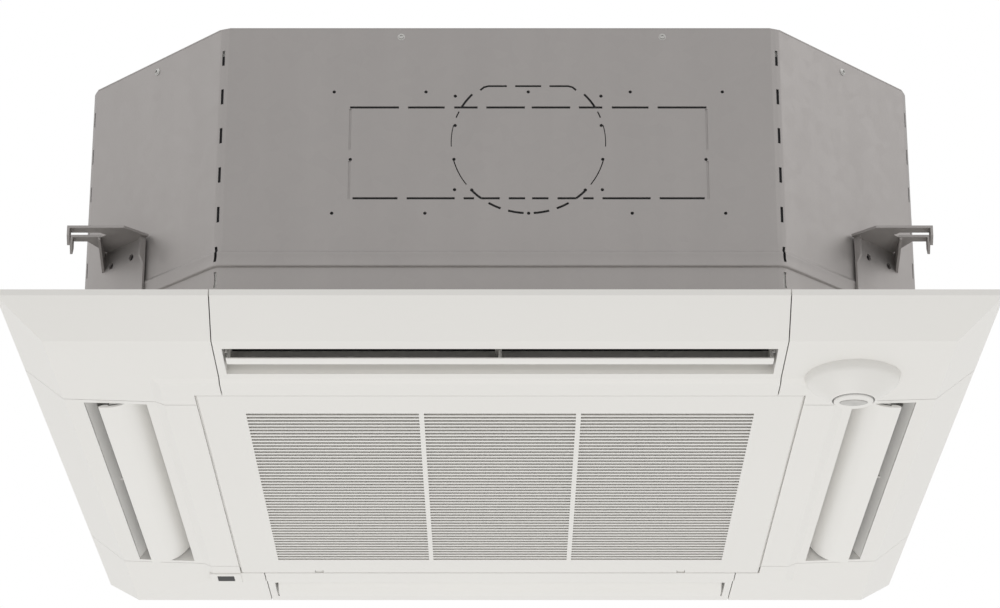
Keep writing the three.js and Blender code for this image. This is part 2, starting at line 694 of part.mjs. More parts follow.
function grilleSlots() {
  const field = GRILLE_HALF - GRILLE_BORDER;
  const rib = RIB_WIDTH / 2;
  const bays = [[-field, -RIB_HALF - rib], [rib - RIB_HALF, RIB_HALF - rib], [RIB_HALF + rib, field]];
  const count = Math.floor((2 * field) / SLAT_PITCH);
  const gap = (SLAT_PITCH - SLAT_WIDTH) / 2;
  const lean = SLAT_LEAN / GRILLE_THICKNESS;
  const [low, high] = [GRILLE_FACE - THROUGH, GRILLE_TOP + THROUGH];
  const section = [[-1, low], [1, low], [1, high], [-1, high]]
    .map(([side, z]) => [side * gap + (z - GRILLE_FACE) * lean, z]);
  const row = join(bays.map(([from, to]) => alongX(section, from, to)));
  return Array.from({ length: count }, (_, i) => row.translate([0, (i - (count - 1) / 2) * SLAT_PITCH, 0]));
}

function intakeGrille() {
  const cutBack = GRILLE_HALF - GRILLE_CHAMFER;
  const plate = cut(square(GRILLE_HALF, GRILLE_FACE, GRILLE_TOP, [0, 0]), grilleSlots());
  const edge = roundSquare([
    [cutBack, GRILLE_FACE - THROUGH],
    [cutBack, GRILLE_FACE],
    [GRILLE_HALF, GRILLE_FACE + GRILLE_CHAMFER],
    [GRILLE_HALF + THROUGH, GRILLE_FACE + GRILLE_CHAMFER],
    [GRILLE_HALF + THROUGH, GRILLE_FACE - THROUGH],
  ]);
  const lipInner = GRILLE_HALF - GRILLE_LIP_WALL;
  const lipTop = GRILLE_TOP + GRILLE_LIP;
  const lip = roundSquare([
    [GRILLE_HALF, GRILLE_TOP - 1],
    [GRILLE_HALF, lipTop],
    [lipInner, lipTop],
    [lipInner, GRILLE_TOP - 1],
  ]);
  const [y, z] = HINGE;
  const bore = HINGE_RADIUS + RUN_GAP;
  const notchHalf = HINGE_LUG_WIDTH / 2 + HINGE_NOTCH_GAP;
  const reach = notchHalf + HINGE_PIN_GRIP;
  const boss = block(
    [-reach, reach],
    [y - HINGE_LUG_RADIUS, GRILLE_HALF - GAP],
    [GRILLE_TOP - 1, z + HINGE_LUG_RADIUS],
  );
  const notch = block(
    [-notchHalf, notchHalf],
    [y - HINGE_LUG_RADIUS - HINGE_NOTCH_GAP, GRILLE_HALF + THROUGH],
    [GRILLE_FACE - THROUGH, lipTop + THROUGH],
  );
  const hole = rodAlongX(bore, -reach, reach).translate([0, y, z]);
  const atHinges = (shape) => [HINGE_HALF, -HINGE_HALF].map((x) => shape.translate([x, 0, 0]));
  const catchRoom = CATCH_TONGUE_WIDTH / 2 + GAP;
  const catchGap = block(
    [-catchRoom, catchRoom],
    [-GRILLE_HALF - THROUGH, -lipInner + THROUGH],
    [GRILLE_TOP, GRILLE_TOP + CATCH_HEIGHT + 2 * GAP],
  );
  const catchGaps = [CATCH_HALF, -CATCH_HALF].map((x) => catchGap.translate([x, 0, 0]));
  const railInner = CATCH_WIDTH / 2 + GAP;
  const rail = block(
    [railInner, railInner + 2],
    [-lipInner, -lipInner + CATCH_LENGTH],
    [GRILLE_TOP - 1, GRILLE_TOP + CATCH_HEIGHT],
  );
  const railPair = join(rail, mirrored(rail, -1, 1));
  const rails = [CATCH_HALF, -CATCH_HALF].map((x) => railPair.translate([x, 0, 0]));
  const body = join(cut(plate, edge), lip, atHinges(boss), rails);
  return cut(body, atHinges(notch), atHinges(hole), catchGaps);
}
add("intake_grille", intakeGrille(), WHITE_PLASTIC);

function hingePin(x) {
  const half = HINGE_LUG_WIDTH / 2 + HINGE_NOTCH_GAP + HINGE_PIN_GRIP - GAP;
  return rodAlongX(HINGE_RADIUS, -half, half).translate([x, ...HINGE]);
}

// A sliding catch: its tongue reaches through the panel's wall, and it draws back along +Y.
function grilleCatch(x) {
  const low = GRILLE_TOP + GAP;
  const high = low + CATCH_HEIGHT;
  const front = -CATCH_BACK - CATCH_LENGTH;
  const tongueHalf = CATCH_TONGUE_WIDTH / 2;
  const body = block([x - CATCH_WIDTH / 2, x + CATCH_WIDTH / 2], [front, -CATCH_BACK], [low, high]);
  const tongue = block(
    [x - tongueHalf, x + tongueHalf],
    [-GRILLE_HALF - CATCH_TONGUE, front + GAP],
    [low, high - 1],
  );
  return join(body, tongue);
}

for (const [side, sign] of [["left", -1], ["right", 1]]) {
  add(`grille_hinge_pin_${side}`, hingePin(sign * HINGE_HALF), STEEL);
  add(`grille_catch_${side}`, grilleCatch(sign * CATCH_HALF), WHITE_PLASTIC);
}

// A tray whose floor is the net, crossed by low bars.
function airFilter() {
  const low = GRILLE_TOP + GAP;
  const bay = (2 * FILTER_HALF - FILTER_BORDER) / FILTER_BAYS;
  const room = bay - FILTER_BORDER;
  const start = FILTER_BORDER - FILTER_HALF;
  const pockets = [];
  for (let i = 0; i < FILTER_BAYS; i++)
    for (let j = 0; j < FILTER_BAYS; j++) {
      const [x, y] = [start + i * bay, start + j * bay];
      pockets.push(block([x, x + room], [y, y + room], [low + FILTER_NET, low + FILTER_HEIGHT + THROUGH]));
    }
  return cut(square(FILTER_HALF, low, low + FILTER_HEIGHT, [0, 0]), pockets);
}
add("air_filter", airFilter(), NET);

// ---- Vanes with their motors and bushes ----

function vaneSkin() {
  const curve = new THREE.SplineCurve(asPoints(VANE_FACE));
  const face = curve.getPoints(VANE_FACE_STEPS).map(({ x, y }) => [x, y]);
  const back = offset(face, -VANE_THICKNESS);
  back[0] = face[0].map((start, i) => start + ((back[0][i] - start) * VANE_LIP) / VANE_THICKNESS);
  return [...face, ...back.reverse()];
}

// Rib from the vane's skin up to its pivot.
function vaneRib(from, to) {
  const [lip, , low, mid] = VANE_FACE;
  const web = alongX([[lip[0] / 2, low[1] - 1], [VANE_BOSS_RADIUS, 0], [-VANE_BOSS_RADIUS, 0], mid, low], from, to);
  return join(web, rodAlongX(VANE_BOSS_RADIUS, from, to));
}

function airVane() {
  const skin = alongX(vaneSkin(), -VANE_HALF, VANE_HALF);
  const ends = [vaneRib(VANE_HALF - VANE_RIB, VANE_HALF), vaneRib(-VANE_HALF, VANE_RIB - VANE_HALF)];
  const middle = vaneRib(-VANE_RIB / 2, VANE_RIB / 2);
  const motorEnd = WEB_OUTER + VANE_PIN_IN_MOTOR;
  const pins = [
    rodAlongX(VANE_PIN_RADIUS, VANE_HALF - 1, motorEnd),
    rodAlongX(VANE_PIN_RADIUS, -WEB_OUTER, 1 - VANE_HALF),
  ];
  const bore = rodAlongX(STAY_PIN_RADIUS + RUN_GAP, -VANE_RIB, VANE_RIB);
  return cut(join(skin, ends, middle, pins), bore);
}

function vaneMotor() {
  const from = WEB_OUTER + GAP;
  const to = from + MOTOR_CAN_LENGTH;
  const can = rodAlongX(MOTOR_CAN_RADIUS, from, to, ROUND / 2).translate([0, 0, MOTOR_CAN_RISE]);
  return cut(can, rodAlongX(VANE_PIN_RADIUS + RUN_GAP, 0, WEB_OUTER + VANE_PIN_IN_MOTOR + GAP));
}

function vaneBush() {
  const ring = rodAlongX(BUSH_RADIUS, -WEB_OUTER, -OUTLET_HALF_LENGTH - GAP);
  return cut(ring, rodAlongX(VANE_PIN_RADIUS + RUN_GAP, -WEB_OUTER - THROUGH, 0));
}

const sides = { back: 0, left: 90, front: 180, right: 270 };
for (const [place, degrees] of Object.entries(sides)) {
  const side = new THREE.Group();
  side.rotation.z = THREE.MathUtils.degToRad(degrees);
  unit.add(side);
  const pivot = new THREE.Group();
  pivot.position.set(0, ...PIVOT);
  side.add(pivot);
  add(`air_vane_${place}`, airVane(), WHITE_PLASTIC, pivot);
  add(`vane_motor_${place}`, vaneMotor(), GREY_PLASTIC, pivot);
  add(`vane_bush_${place}`, vaneBush(), GREY_PLASTIC, pivot);
}

// ---- Casing ----

// Corners of the casing's outline, two for each bend, drawn in by a distance.
function casingOutline(inwards) {
  const lean = FACET * Math.SQRT1_2;
  const quarter = [
    [BODY_HALF, CHAMFER_HALF - FACET],
    [BODY_HALF - lean, CHAMFER_HALF + lean],
    [CHAMFER_HALF + lean, BODY_HALF - lean],
    [CHAMFER_HALF - FACET, BODY_HALF],
  ];
  const turnedQuarter = (k) =>
    quarter.map(([x, y]) => [[x, y], [-y, x], [-x, -y], [y, -x]][k]);
  return offset([0, 1, 2, 3].flatMap(turnedQuarter), inwards, true);
}

// A wall of sheet that follows an open path. Levels are height and how far the sheet stands proud.
function sheetWall(path, levels, thickness) {
  const rings = levels.map(([z, proud]) => {
    const outer = offset(path, -proud);
    const inner = offset(path, thickness - proud).reverse();
    return [...outer, ...inner].map(([x, y]) => [x, y, z]);
  });
  const size = rings[0].length;
  const cap = THREE.ShapeUtils.triangulateShape(asPoints(rings[0]), []);
  const corners = [];
  for (let level = 0; level + 1 < rings.length; level++)
    for (let i = 0; i < size; i++) {
      const a = level * size + i;
      const b = level * size + ((i + 1) % size);
      corners.push(a, b, b + size, a, b + size, a + size);
    }
  const last = (rings.length - 1) * size;
  for (const [a, b, c] of cap) {
    corners.push(a, c, b);
    corners.push(last + a, last + b, last + c);
  }
  const geometry = new THREE.BufferGeometry()
    .setAttribute("position", new THREE.Float32BufferAttribute(rings.flat(2), 3))
    .setIndex(corners);
  return solid(geometry);
}

const wallLevels = [
  [BODY_BOTTOM, 0],
  [BEAD_TOP - BEAD_HEIGHT, 0],
  [BEAD_TOP - BEAD_HEIGHT + BEAD_SLOPE, BEAD_PROUD],
  [BEAD_TOP - BEAD_SLOPE, BEAD_PROUD],
  [BEAD_TOP, 0],
  [WALL_TOP, 0],
];

// The front half of the casing's wall, from the middle of the right side to the middle of the left.
function halfWall() {
  const outline = casingOutline(0);
  const front = outline.filter(([, y]) => y < 0);
  const path = [[-BODY_HALF, -GAP / 2], ...front, [BODY_HALF, -GAP / 2]];
  return sheetWall(path, wallLevels, SHEET);
}

// Relief slots on every bend of the casing.
function bendSlots() {
  const half = BEND_SLOT_LENGTH / 2;
  const heights = Array.from({ length: BEND_SLOT_COUNT }, (_, i) => BEND_SLOT_FIRST + i * BEND_SLOT_PITCH);
  const lean = FACET * Math.SQRT1_2;
  const at = [CHAMFER_HALF + (lean - FACET) / 2, BODY_HALF - lean / 2];
  const slots = [BEND_SLOT_LOWEST, ...heights].map((z) => {
    const width = BEND_SLOT_WIDTH / 2;
    const tool = block([-width, width], [-THROUGH, THROUGH], [z - half, z + half]);
    return turn(tool, -22.5).translate([...at, 0]);
  });
  const bend = join(slots);
  const corner = join(bend, bend.mirror([1, -1, 0]));
  return onFourSides(corner);
}

// Tool that cuts a slot in the front wall between two X at one height.
const wallSlot = (from, to, z) =>
  block([from, to], [-BODY_HALF - THROUGH, THROUGH - BODY_HALF], [z - KNOCKOUT_SLOT / 2, z + KNOCKOUT_SLOT / 2]);

function slotRow(list, z) {
  return list.flatMap(([from, to]) => [
    wallSlot(KNOCKOUT_X + from, KNOCKOUT_X + to, z),
    wallSlot(KNOCKOUT_X - to, KNOCKOUT_X - from, z),
  ]);
}

function roundKnockout() {
  const step = 360 / ROUND_KNOCKOUT_SLOTS;
  const length = ((2 * Math.PI * ROUND_KNOCKOUT_RADIUS) / ROUND_KNOCKOUT_SLOTS) * ROUND_KNOCKOUT_FILL;
  const tool = block(
    [-length / 2, length / 2],
    [-THROUGH, THROUGH],
    [ROUND_KNOCKOUT_RADIUS - KNOCKOUT_SLOT, ROUND_KNOCKOUT_RADIUS],
  );
  const place = [KNOCKOUT_X, -BODY_HALF, ROUND_KNOCKOUT_Z];
  return Array.from({ length: ROUND_KNOCKOUT_SLOTS }, (_, i) =>
    tool.rotate([0, (i + 0.5) * step, 0]).translate(place),
  );
}

function screwHoles() {
  const tool = rodAlongY(SCREW_HOLE_RADIUS, -THROUGH, THROUGH, 6);
  return SCREW_HOLE_ROWS.flatMap((z) =>
    SCREW_HOLE_COLUMNS.map((x) => tool.translate([x, -BODY_HALF, z])),
  );
}

function shellFront() {
  const high = KNOCKOUT_Z + KNOCKOUT_HEIGHT / 2;
  const low = KNOCKOUT_Z - KNOCKOUT_HEIGHT / 2;
  return cut(
    halfWall(),
    bendSlots(),
    slotRow(KNOCKOUT_TOP_SLOTS, high),
    slotRow(KNOCKOUT_BOTTOM_SLOTS, low),
    roundKnockout(),
    screwHoles(),
  );
}
add("shell_front", shellFront(), GALVANISED);

const pipePlateZ = (GAS_Z + LIQUID_Z) / 2;
const backHole = (x, z, radius) =>
  rodAlongY(radius + 2 * GAP, BODY_HALF - THROUGH, BODY_HALF + THROUGH).translate([x, 0, z]);

function shellBack() {
  const halfWidth = PIPE_PLATE_WIDTH / 2 - PIPE_PLATE_MARGIN;
  const halfHeight = PIPE_PLATE_HEIGHT / 2 - PIPE_PLATE_MARGIN;
  const window = block(
    [PIPE_X - halfWidth, PIPE_X + halfWidth],
    [BODY_HALF - THROUGH, BODY_HALF + THROUGH],
    [pipePlateZ - halfHeight, pipePlateZ + halfHeight],
  );
  return cut(turn(halfWall(), 180), bendSlots(), window, backHole(DRAIN_X, DRAIN_Z, DRAIN_RADIUS));
}
add("shell_back", shellBack(), GALVANISED);

function topPlate() {
  const plate = upright(casingOutline(0), BODY_TOP - SHEET, BODY_TOP);
  const flangeOuter = casingOutline(SHEET + GAP);
  const flangeInner = casingOutline(2 * SHEET + GAP);
  const flange = upright(flangeOuter, WALL_TOP - TOP_FLANGE, BODY_TOP - SHEET / 2, [flangeInner]);
  const half = TOP_BEAD_WIDTH / 2;
  const bead = turned([
    [TOP_BEAD_RADIUS - half, BODY_TOP - SHEET / 2],
    [TOP_BEAD_RADIUS + half, BODY_TOP - SHEET / 2],
    [TOP_BEAD_RADIUS + half / 2, BODY_TOP + TOP_BEAD_HEIGHT],
    [TOP_BEAD_RADIUS - half / 2, BODY_TOP + TOP_BEAD_HEIGHT],
  ]);
  return join(plate, flange, bead);
}
add("top_plate", topPlate(), GALVANISED);

const linerHole = (x, z, radius) =>
  rodAlongY(radius, DUCT_OUTER - THROUGH, LINER_OUTER + THROUGH).translate([x, 0, z]);

function insulationLiner() {
  const outer = casingOutline(SHEET + GAP);
  const inner = casingOutline(SHEET + GAP + LINER_THICKNESS);
  const wall = upright(outer, PAN_TOP + GAP, TOP_FOAM_BOTTOM - GAP, [inner]);
  return cut(
    wall,
    linerHole(PIPE_X, GAS_Z, GAS_RADIUS + 2 * GAP),
    linerHole(PIPE_X, LIQUID_Z, LIQUID_RADIUS + 2 * GAP),
    linerHole(DRAIN_X, DRAIN_Z, DRAIN_RADIUS + 2 * GAP),
  );
}
add("insulation_liner", insulationLiner(), FOAM);

function topFoam() {
  const outline = casingOutline(2 * SHEET + 2 * GAP);
  return cut(
    upright(outline, TOP_FOAM_BOTTOM, TOP_FOAM_TOP),
    rod(MOTOR_RADIUS + GAP, TOP_FOAM_BOTTOM - THROUGH, BODY_TOP, ROUND),
    rod(MOTOR_FLANGE_RADIUS + GAP, TOP_FOAM_TOP - MOTOR_FLANGE - GAP, BODY_TOP, ROUND),
  );
}
add("top_foam", topFoam(), WHITE_FOAM);

// ---- Hanger brackets ----

function hangerBracket() {
  const middle = CHAMFER_SUM / 2 + (GAP + BEAD_PROUD) * Math.SQRT1_2;
  const low = BRACKET_TOP - BRACKET_SHEET;
  const reach = middle + BRACKET_REACH;
  const outer = middle + BRACKET_SHOULDER;
  const slotHalf = BRACKET_SLOT / 2;
  const rodX = reach - BRACKET_SLOT_DEPTH;
  const rodY = outer - BRACKET_OUTER_PRONG - slotHalf;
  const inner = rodY - slotHalf - BRACKET_INNER_PRONG;
  const root = inner - BRACKET_ROOT;
  const fork = upright([
    [middle, middle],
    [outer, outer],
    [reach, outer],
    [reach, rodY + slotHalf],
    [rodX, rodY + slotHalf],
    [rodX - slotHalf, rodY],
    [rodX, rodY - slotHalf],
    [reach, rodY - slotHalf],
    [reach, inner],
    [reach - BRACKET_TAB, inner],
    [2 * middle - root, root],
  ], low, BRACKET_TOP);
  const tab = (from, to) => {
    const middle = (from + to) / 2;
    const section = [
      [from, low + 1],
      [to, low + 1],
      [to, low - BRACKET_TAB / 2],
      [middle, low - BRACKET_TAB],
      [from, low - BRACKET_TAB / 2],
    ];
    return alongX(section, reach - BRACKET_SHEET, reach);
  };
  const tabs = [tab(rodY + slotHalf, outer), tab(inner, rodY - slotHalf)];
  const half = BRACKET_PLATE_WIDTH / 2;
  const plate = block([-half, half], [0, BRACKET_SHEET], [BRACKET_PLATE_BOTTOM, BRACKET_TOP]);
  const hole = (x, z, radius) => rodAlongY(radius, -THROUGH, 2 * THROUGH).translate([x, 0, z]);
  const drilled = cut(
    plate,
    hole(-BRACKET_HOLE_HALF, BRACKET_TOP - BRACKET_HOLE_DROP, BRACKET_HOLE_RADIUS),
    hole(BRACKET_HOLE_HALF, BRACKET_TOP - BRACKET_HOLE_DROP, BRACKET_HOLE_RADIUS),
    hole(0, BRACKET_PLATE_BOTTOM + BRACKET_BIG_HOLE_RISE, BRACKET_BIG_HOLE_RADIUS),
  );
  const flangeFoot = low - BRACKET_FLANGE_DROP;
  const flangeSection = [
    [0, low + 1],
    [0, flangeFoot - BRACKET_FLANGE],
    [BRACKET_SHEET, flangeFoot - BRACKET_FLANGE],
    [BRACKET_FLANGE, flangeFoot],
    [BRACKET_FLANGE, low + 1],
  ];
  const flange = alongX(flangeSection, -half, BRACKET_SHEET - half);
  const onChamfer = turn(join(drilled, flange).translate([BRACKET_PLATE_SHIFT, 0, 0]), -45);
  const gussetX = middle + BRACKET_GUSSET_X;
  const wallY = 2 * middle - gussetX;
  const gussetSection = [
    [wallY, low + 1],
    [wallY, flangeFoot],
    [wallY + BRACKET_SHEET, flangeFoot],
    [wallY + BRACKET_GUSSET_LENGTH, low - BRACKET_SHEET],
    [wallY + BRACKET_GUSSET_LENGTH, low + 1],
  ];
  const gusset = alongX(gussetSection, gussetX, gussetX + BRACKET_SHEET);
  return join(fork, tabs, onChamfer.translate([middle, middle, 0]), gusset);
}

for (const [place, [x, y]] of Object.entries(corners)) {
  const bracket = add(`hanger_bracket_${place}`, hangerBracket(), GALVANISED);
  bracket.scale.set(x, y, 1);
}

// ---- Drain pan, gasket, bell mouth ----

const ductOpening = (low, high, grow = 0) =>
  onFourSides(block(
    [-DUCT_HALF_LENGTH - grow, DUCT_HALF_LENGTH + grow],
    [DUCT_INNER - grow, DUCT_OUTER + grow],
    [low, high],
  ));

function drainPan() {
  const outline = casingOutline(SHEET + GAP);
  const slab = upright(outline, BODY_BOTTOM, PAN_TOP);
  const troughOuter = COIL_HALF + COIL_ROOM;
  const troughInner = COIL_INNER - COIL_ROOM;
  const trough = roundSquare([
    [troughInner, PAN_TROUGH_FLOOR],
    [troughOuter, PAN_TROUGH_FLOOR],
    [troughOuter, PAN_TOP + THROUGH],
    [troughInner, PAN_TOP + THROUGH],
  ]);
  const eye = rod(BELL_FLANGE_RADIUS + GAP, 0, PAN_TOP + THROUGH, ROUND);
  return cut(slab, trough, eye, ductOpening(0, PAN_TOP + THROUGH));
}
add("drain_pan", drainPan(), WHITE_FOAM);

function panelGasket() {
  const low = GAP;
  const high = BODY_BOTTOM - GAP;
  const ring = roundSquare([
    [OPENING_HALF, low],
    [DUCT_OUTER + GASKET_MARGIN, low],
    [DUCT_OUTER + GASKET_MARGIN, high],
    [OPENING_HALF, high],
  ]);
  const clipped = ring.intersect(upright(casingOutline(SHEET), 0, BODY_BOTTOM));
  return cut(clipped, ductOpening(0, BODY_BOTTOM));
}
add("panel_gasket", panelGasket(), FOAM);

function bellMouth() {
  const curve = Array.from({ length: 5 }, (_, i) => {
    const angle = (Math.PI / 2) * (i / 4);
    return [BELL_FLANGE_RADIUS - BELL_FLARE * Math.sin(angle), BELL_FOOT + BELL_HEIGHT * (1 - Math.cos(angle))];
  });
  const air = [...curve, [BELL_THROAT_RADIUS, BELL_TOP]];
  return turned([...air, ...offset(air, -BELL_WALL).reverse()].filter(([radius]) => radius <= BELL_FLANGE_RADIUS));
}
add("bell_mouth", bellMouth(), GREY_PLASTIC);

// ---- Fan ----

function fanBlade() {
  const tip = FAN_RADIUS - FAN_BLADE_THICKNESS / 2;
  const path = Array.from({ length: 5 }, (_, i) => {
    const share = i / 4;
    const radius = tip - FAN_BLADE_CHORD * (1 - share);
    const angle = -0.55 * share - 0.12 * share * share;
    return [radius * Math.cos(angle), radius * Math.sin(angle)];
  });
  const half = FAN_BLADE_THICKNESS / 2;
  const outline = [...offset(path, -half), ...offset(path, half).reverse()];
  return upright(outline, FAN_BOTTOM + FAN_PLATE, FAN_TOP - 1);
}

function turboFan() {
  const plateFoot = FAN_TOP - FAN_PLATE;
  const back = turned([[0, plateFoot], [FAN_RADIUS, plateFoot], [FAN_RADIUS, FAN_TOP], [0, FAN_TOP]]);
  const hub = rod(FAN_HUB_RADIUS, FAN_TOP - FAN_HUB_DEPTH, FAN_TOP, ROUND / 2);
  const rise = 26;
  const shroud = turned([
    [FAN_INLET_RADIUS, FAN_BOTTOM],
    [FAN_INLET_RADIUS + 3, FAN_BOTTOM],
    [FAN_INLET_RADIUS + 12, FAN_BOTTOM + rise * 0.6],
    [FAN_RADIUS, FAN_BOTTOM + rise],
    [FAN_RADIUS, FAN_BOTTOM + rise + 3],
    [FAN_INLET_RADIUS + 9, FAN_BOTTOM + rise * 0.6 + 3],
    [FAN_INLET_RADIUS, FAN_BOTTOM + 6],
  ]);
  const below = turned([
    [0, 0],
    [FAN_RADIUS + 1, 0],
    [FAN_RADIUS + 1, FAN_BOTTOM + rise + 1],
    [FAN_INLET_RADIUS + 10, FAN_BOTTOM + rise * 0.6 + 1],
    [FAN_INLET_RADIUS + 1, FAN_BOTTOM + 4],
    [0, FAN_BOTTOM + 4],
  ]);
  const blades = Array.from({ length: FAN_BLADES }, (_, i) => cut(turn(fanBlade(), (360 / FAN_BLADES) * i), below));
  const bore = rod(SHAFT_RADIUS + GAP, 0, FAN_TOP + THROUGH);
  return cut(join(back, hub, shroud, blades), bore);
}
add("turbo_fan", turboFan(), GREY_PLASTIC);

const hubFoot = FAN_TOP - FAN_HUB_DEPTH;
const nutFoot = hubFoot - GAP - NUT_HEIGHT;
add("fan_shaft", rod(SHAFT_RADIUS, nutFoot - 4, MOTOR_BOTTOM + SHAFT_IN_MOTOR), STEEL);

const hexagon = (across) =>
  Array.from({ length: 6 }, (_, i) => {
    const angle = (Math.PI / 3) * i;
    const radius = across / Math.sqrt(3);
    return [radius * Math.cos(angle), radius * Math.sin(angle)];
  });

const fanNut = cut(
  upright(hexagon(NUT_ACROSS), nutFoot, nutFoot + NUT_HEIGHT),
  rod(SHAFT_RADIUS + GAP, 0, FAN_TOP),
);
add("fan_nut", fanNut, STEEL);

function fanMotor() {
  const flangeFoot = TOP_FOAM_TOP - MOTOR_FLANGE;
  const body = turned([
    [0, MOTOR_BOTTOM],
    [MOTOR_RADIUS - 8, MOTOR_BOTTOM],
    [MOTOR_RADIUS, MOTOR_BOTTOM + 8],
    [MOTOR_RADIUS, flangeFoot],
    [MOTOR_FLANGE_RADIUS, flangeFoot],
    [MOTOR_FLANGE_RADIUS, TOP_FOAM_TOP],
    [0, TOP_FOAM_TOP],
  ]);
  const bore = rod(SHAFT_RADIUS + RUN_GAP, 0, MOTOR_BOTTOM + SHAFT_IN_MOTOR + GAP);
  return cut(body, bore);
}
add("fan_motor", fanMotor(), GREY_PLASTIC);

// ---- Heat exchanger and pipes ----

const openCorner = block(
  [-BODY_HALF, -COIL_OPEN_HALF],
  [COIL_OPEN_HALF, BODY_HALF],
  [0, BODY_TOP],
);

function roundedSquare(half, radius, steps = 4) {
  return [0, 1, 2, 3].flatMap((k) =>
    Array.from({ length: steps + 1 }, (_, i) => {
      const angle = (Math.PI / 2) * (k + i / steps);
      const centre = half - radius;
      const [cx, cy] = [[centre, centre], [-centre, centre], [-centre, -centre], [centre, -centre]][k];
      return [cx + radius * Math.cos(angle), cy + radius * Math.sin(angle)];
    }),
  );
}

function heatExchanger() {
  const outer = roundedSquare(COIL_HALF, COIL_CORNER);
  const inner = roundedSquare(COIL_INNER, COIL_CORNER - COIL_DEPTH);
  return cut(upright(outer, COIL_BOTTOM, COIL_TOP, [inner]), openCorner);
}
add("heat_exchanger", heatExchanger(), FINS);

// Plate that closes the coil's end on the back leg, and its mirror image on the left leg.
const coilEndPlate = block(
  [-COIL_OPEN_HALF - GAP - END_PLATE, -COIL_OPEN_HALF - GAP],
  [COIL_INNER - END_PLATE_MARGIN, COIL_HALF + END_PLATE_MARGIN],
  [COIL_BOTTOM, COIL_TOP],
);
const endPlateBores = [[GAS_Z, GAS_RADIUS], [LIQUID_Z, LIQUID_RADIUS]].map(([z, radius]) =>
  rodAlongX(radius + 2 * GAP, -COIL_HALF, -COIL_OPEN_HALF + GAP).translate([0, PIPE_Y, z]),
);
add("coil_end_plate_back", cut(coilEndPlate, endPlateBores), STEEL);
add("coil_end_plate_left", coilEndPlate.mirror([1, 1, 0]), STEEL);

// A pipe from the coil's end plate round a bend and out through the back wall.
function pipe(radius, z) {
  const start = -COIL_OPEN_HALF - GAP;
  const at = (x, y) => new THREE.Vector3(x, y, z);
  const path = new THREE.CurvePath();
  path.add(new THREE.LineCurve3(at(start, PIPE_Y), at(PIPE_X + PIPE_BEND, PIPE_Y)));
  path.add(new THREE.QuadraticBezierCurve3(
    at(PIPE_X + PIPE_BEND, PIPE_Y),
    at(PIPE_X, PIPE_Y),
    at(PIPE_X, PIPE_Y + PIPE_BEND),
  ));
  path.add(new THREE.LineCurve3(at(PIPE_X, PIPE_Y + PIPE_BEND), at(PIPE_X, PIPE_END)));
  return tube(path, radius, 22);
}

function tube(path, radius, steps) {
  const section = new THREE.Shape(asPoints(ellipse(2 * radius, 2 * radius, TUBE_SIDES)));
  return solid(new THREE.ExtrudeGeometry(section, { extrudePath: path, steps, bevelEnabled: false }));
}
add("gas_pipe", pipe(GAS_RADIUS, GAS_Z), COPPER);
add("liquid_pipe", pipe(LIQUID_RADIUS, LIQUID_Z), COPPER);

function flareNut(across, radius, z) {
  const body = upright(hexagon(across), 0, PIPE_NUT_LENGTH).rotate([-90, 0, 0]);
  const nut = body.translate([PIPE_X, PIPE_END - PIPE_NUT_LENGTH, z]);
  const bore = rodAlongY(radius + 2 * GAP, 0, PIPE_END + THROUGH).translate([PIPE_X, 0, z]);
  return cut(nut, bore);
}
add("gas_flare_nut", flareNut(GAS_NUT_ACROSS, GAS_RADIUS, GAS_Z), BRASS);
add("liquid_flare_nut", flareNut(LIQUID_NUT_ACROSS, LIQUID_RADIUS, LIQUID_Z), BRASS);

function pipePlate() {
  const halfWidth = PIPE_PLATE_WIDTH / 2;
  const halfHeight = PIPE_PLATE_HEIGHT / 2;
  const plate = block(
    [PIPE_X - halfWidth, PIPE_X + halfWidth],
    [BODY_HALF + GAP, BODY_HALF + GAP + PIPE_PLATE_THICKNESS],
    [pipePlateZ - halfHeight, pipePlateZ + halfHeight],
  );
  const bore = (radius, z) => rodAlongY(radius + 2 * GAP, BODY_HALF, BODY_HALF + 2 * THROUGH).translate([PIPE_X, 0, z]);
  return cut(plate, bore(GAS_RADIUS, GAS_Z), bore(LIQUID_RADIUS, LIQUID_Z));
}
add("pipe_plate", pipePlate(), GALVANISED);

function drainSocket() {
  const tube = rodAlongY(DRAIN_RADIUS, DRAIN_START, PIPE_END, ROUND / 2);
  const bore = rodAlongY(DRAIN_BORE_RADIUS, DRAIN_START - THROUGH, PIPE_END + THROUGH, ROUND / 2);
  return cut(tube, bore).translate([DRAIN_X, 0, DRAIN_Z]);
}
add("drain_socket", drainSocket(), WHITE_PLASTIC);

// ---- Drain pump, hose and float switch ----

const troughFoot = PAN_TROUGH_FLOOR + GAP;
const pumpTop = PAN_TOP + GAP + PUMP_HEIGHT;

const drainPump = turned([
  [0, troughFoot],
  [PUMP_INTAKE_RADIUS, troughFoot],
  [PUMP_INTAKE_RADIUS, PAN_TOP + GAP],
  [PUMP_RADIUS, PAN_TOP + GAP + PUMP_RADIUS - PUMP_INTAKE_RADIUS],
  [PUMP_RADIUS, pumpTop],
  [0, pumpTop],
], ROUND * 0.75);
add("drain_pump", drainPump, WHITE_PLASTIC).position.set(-PUMP_HALF, PUMP_HALF, 0);

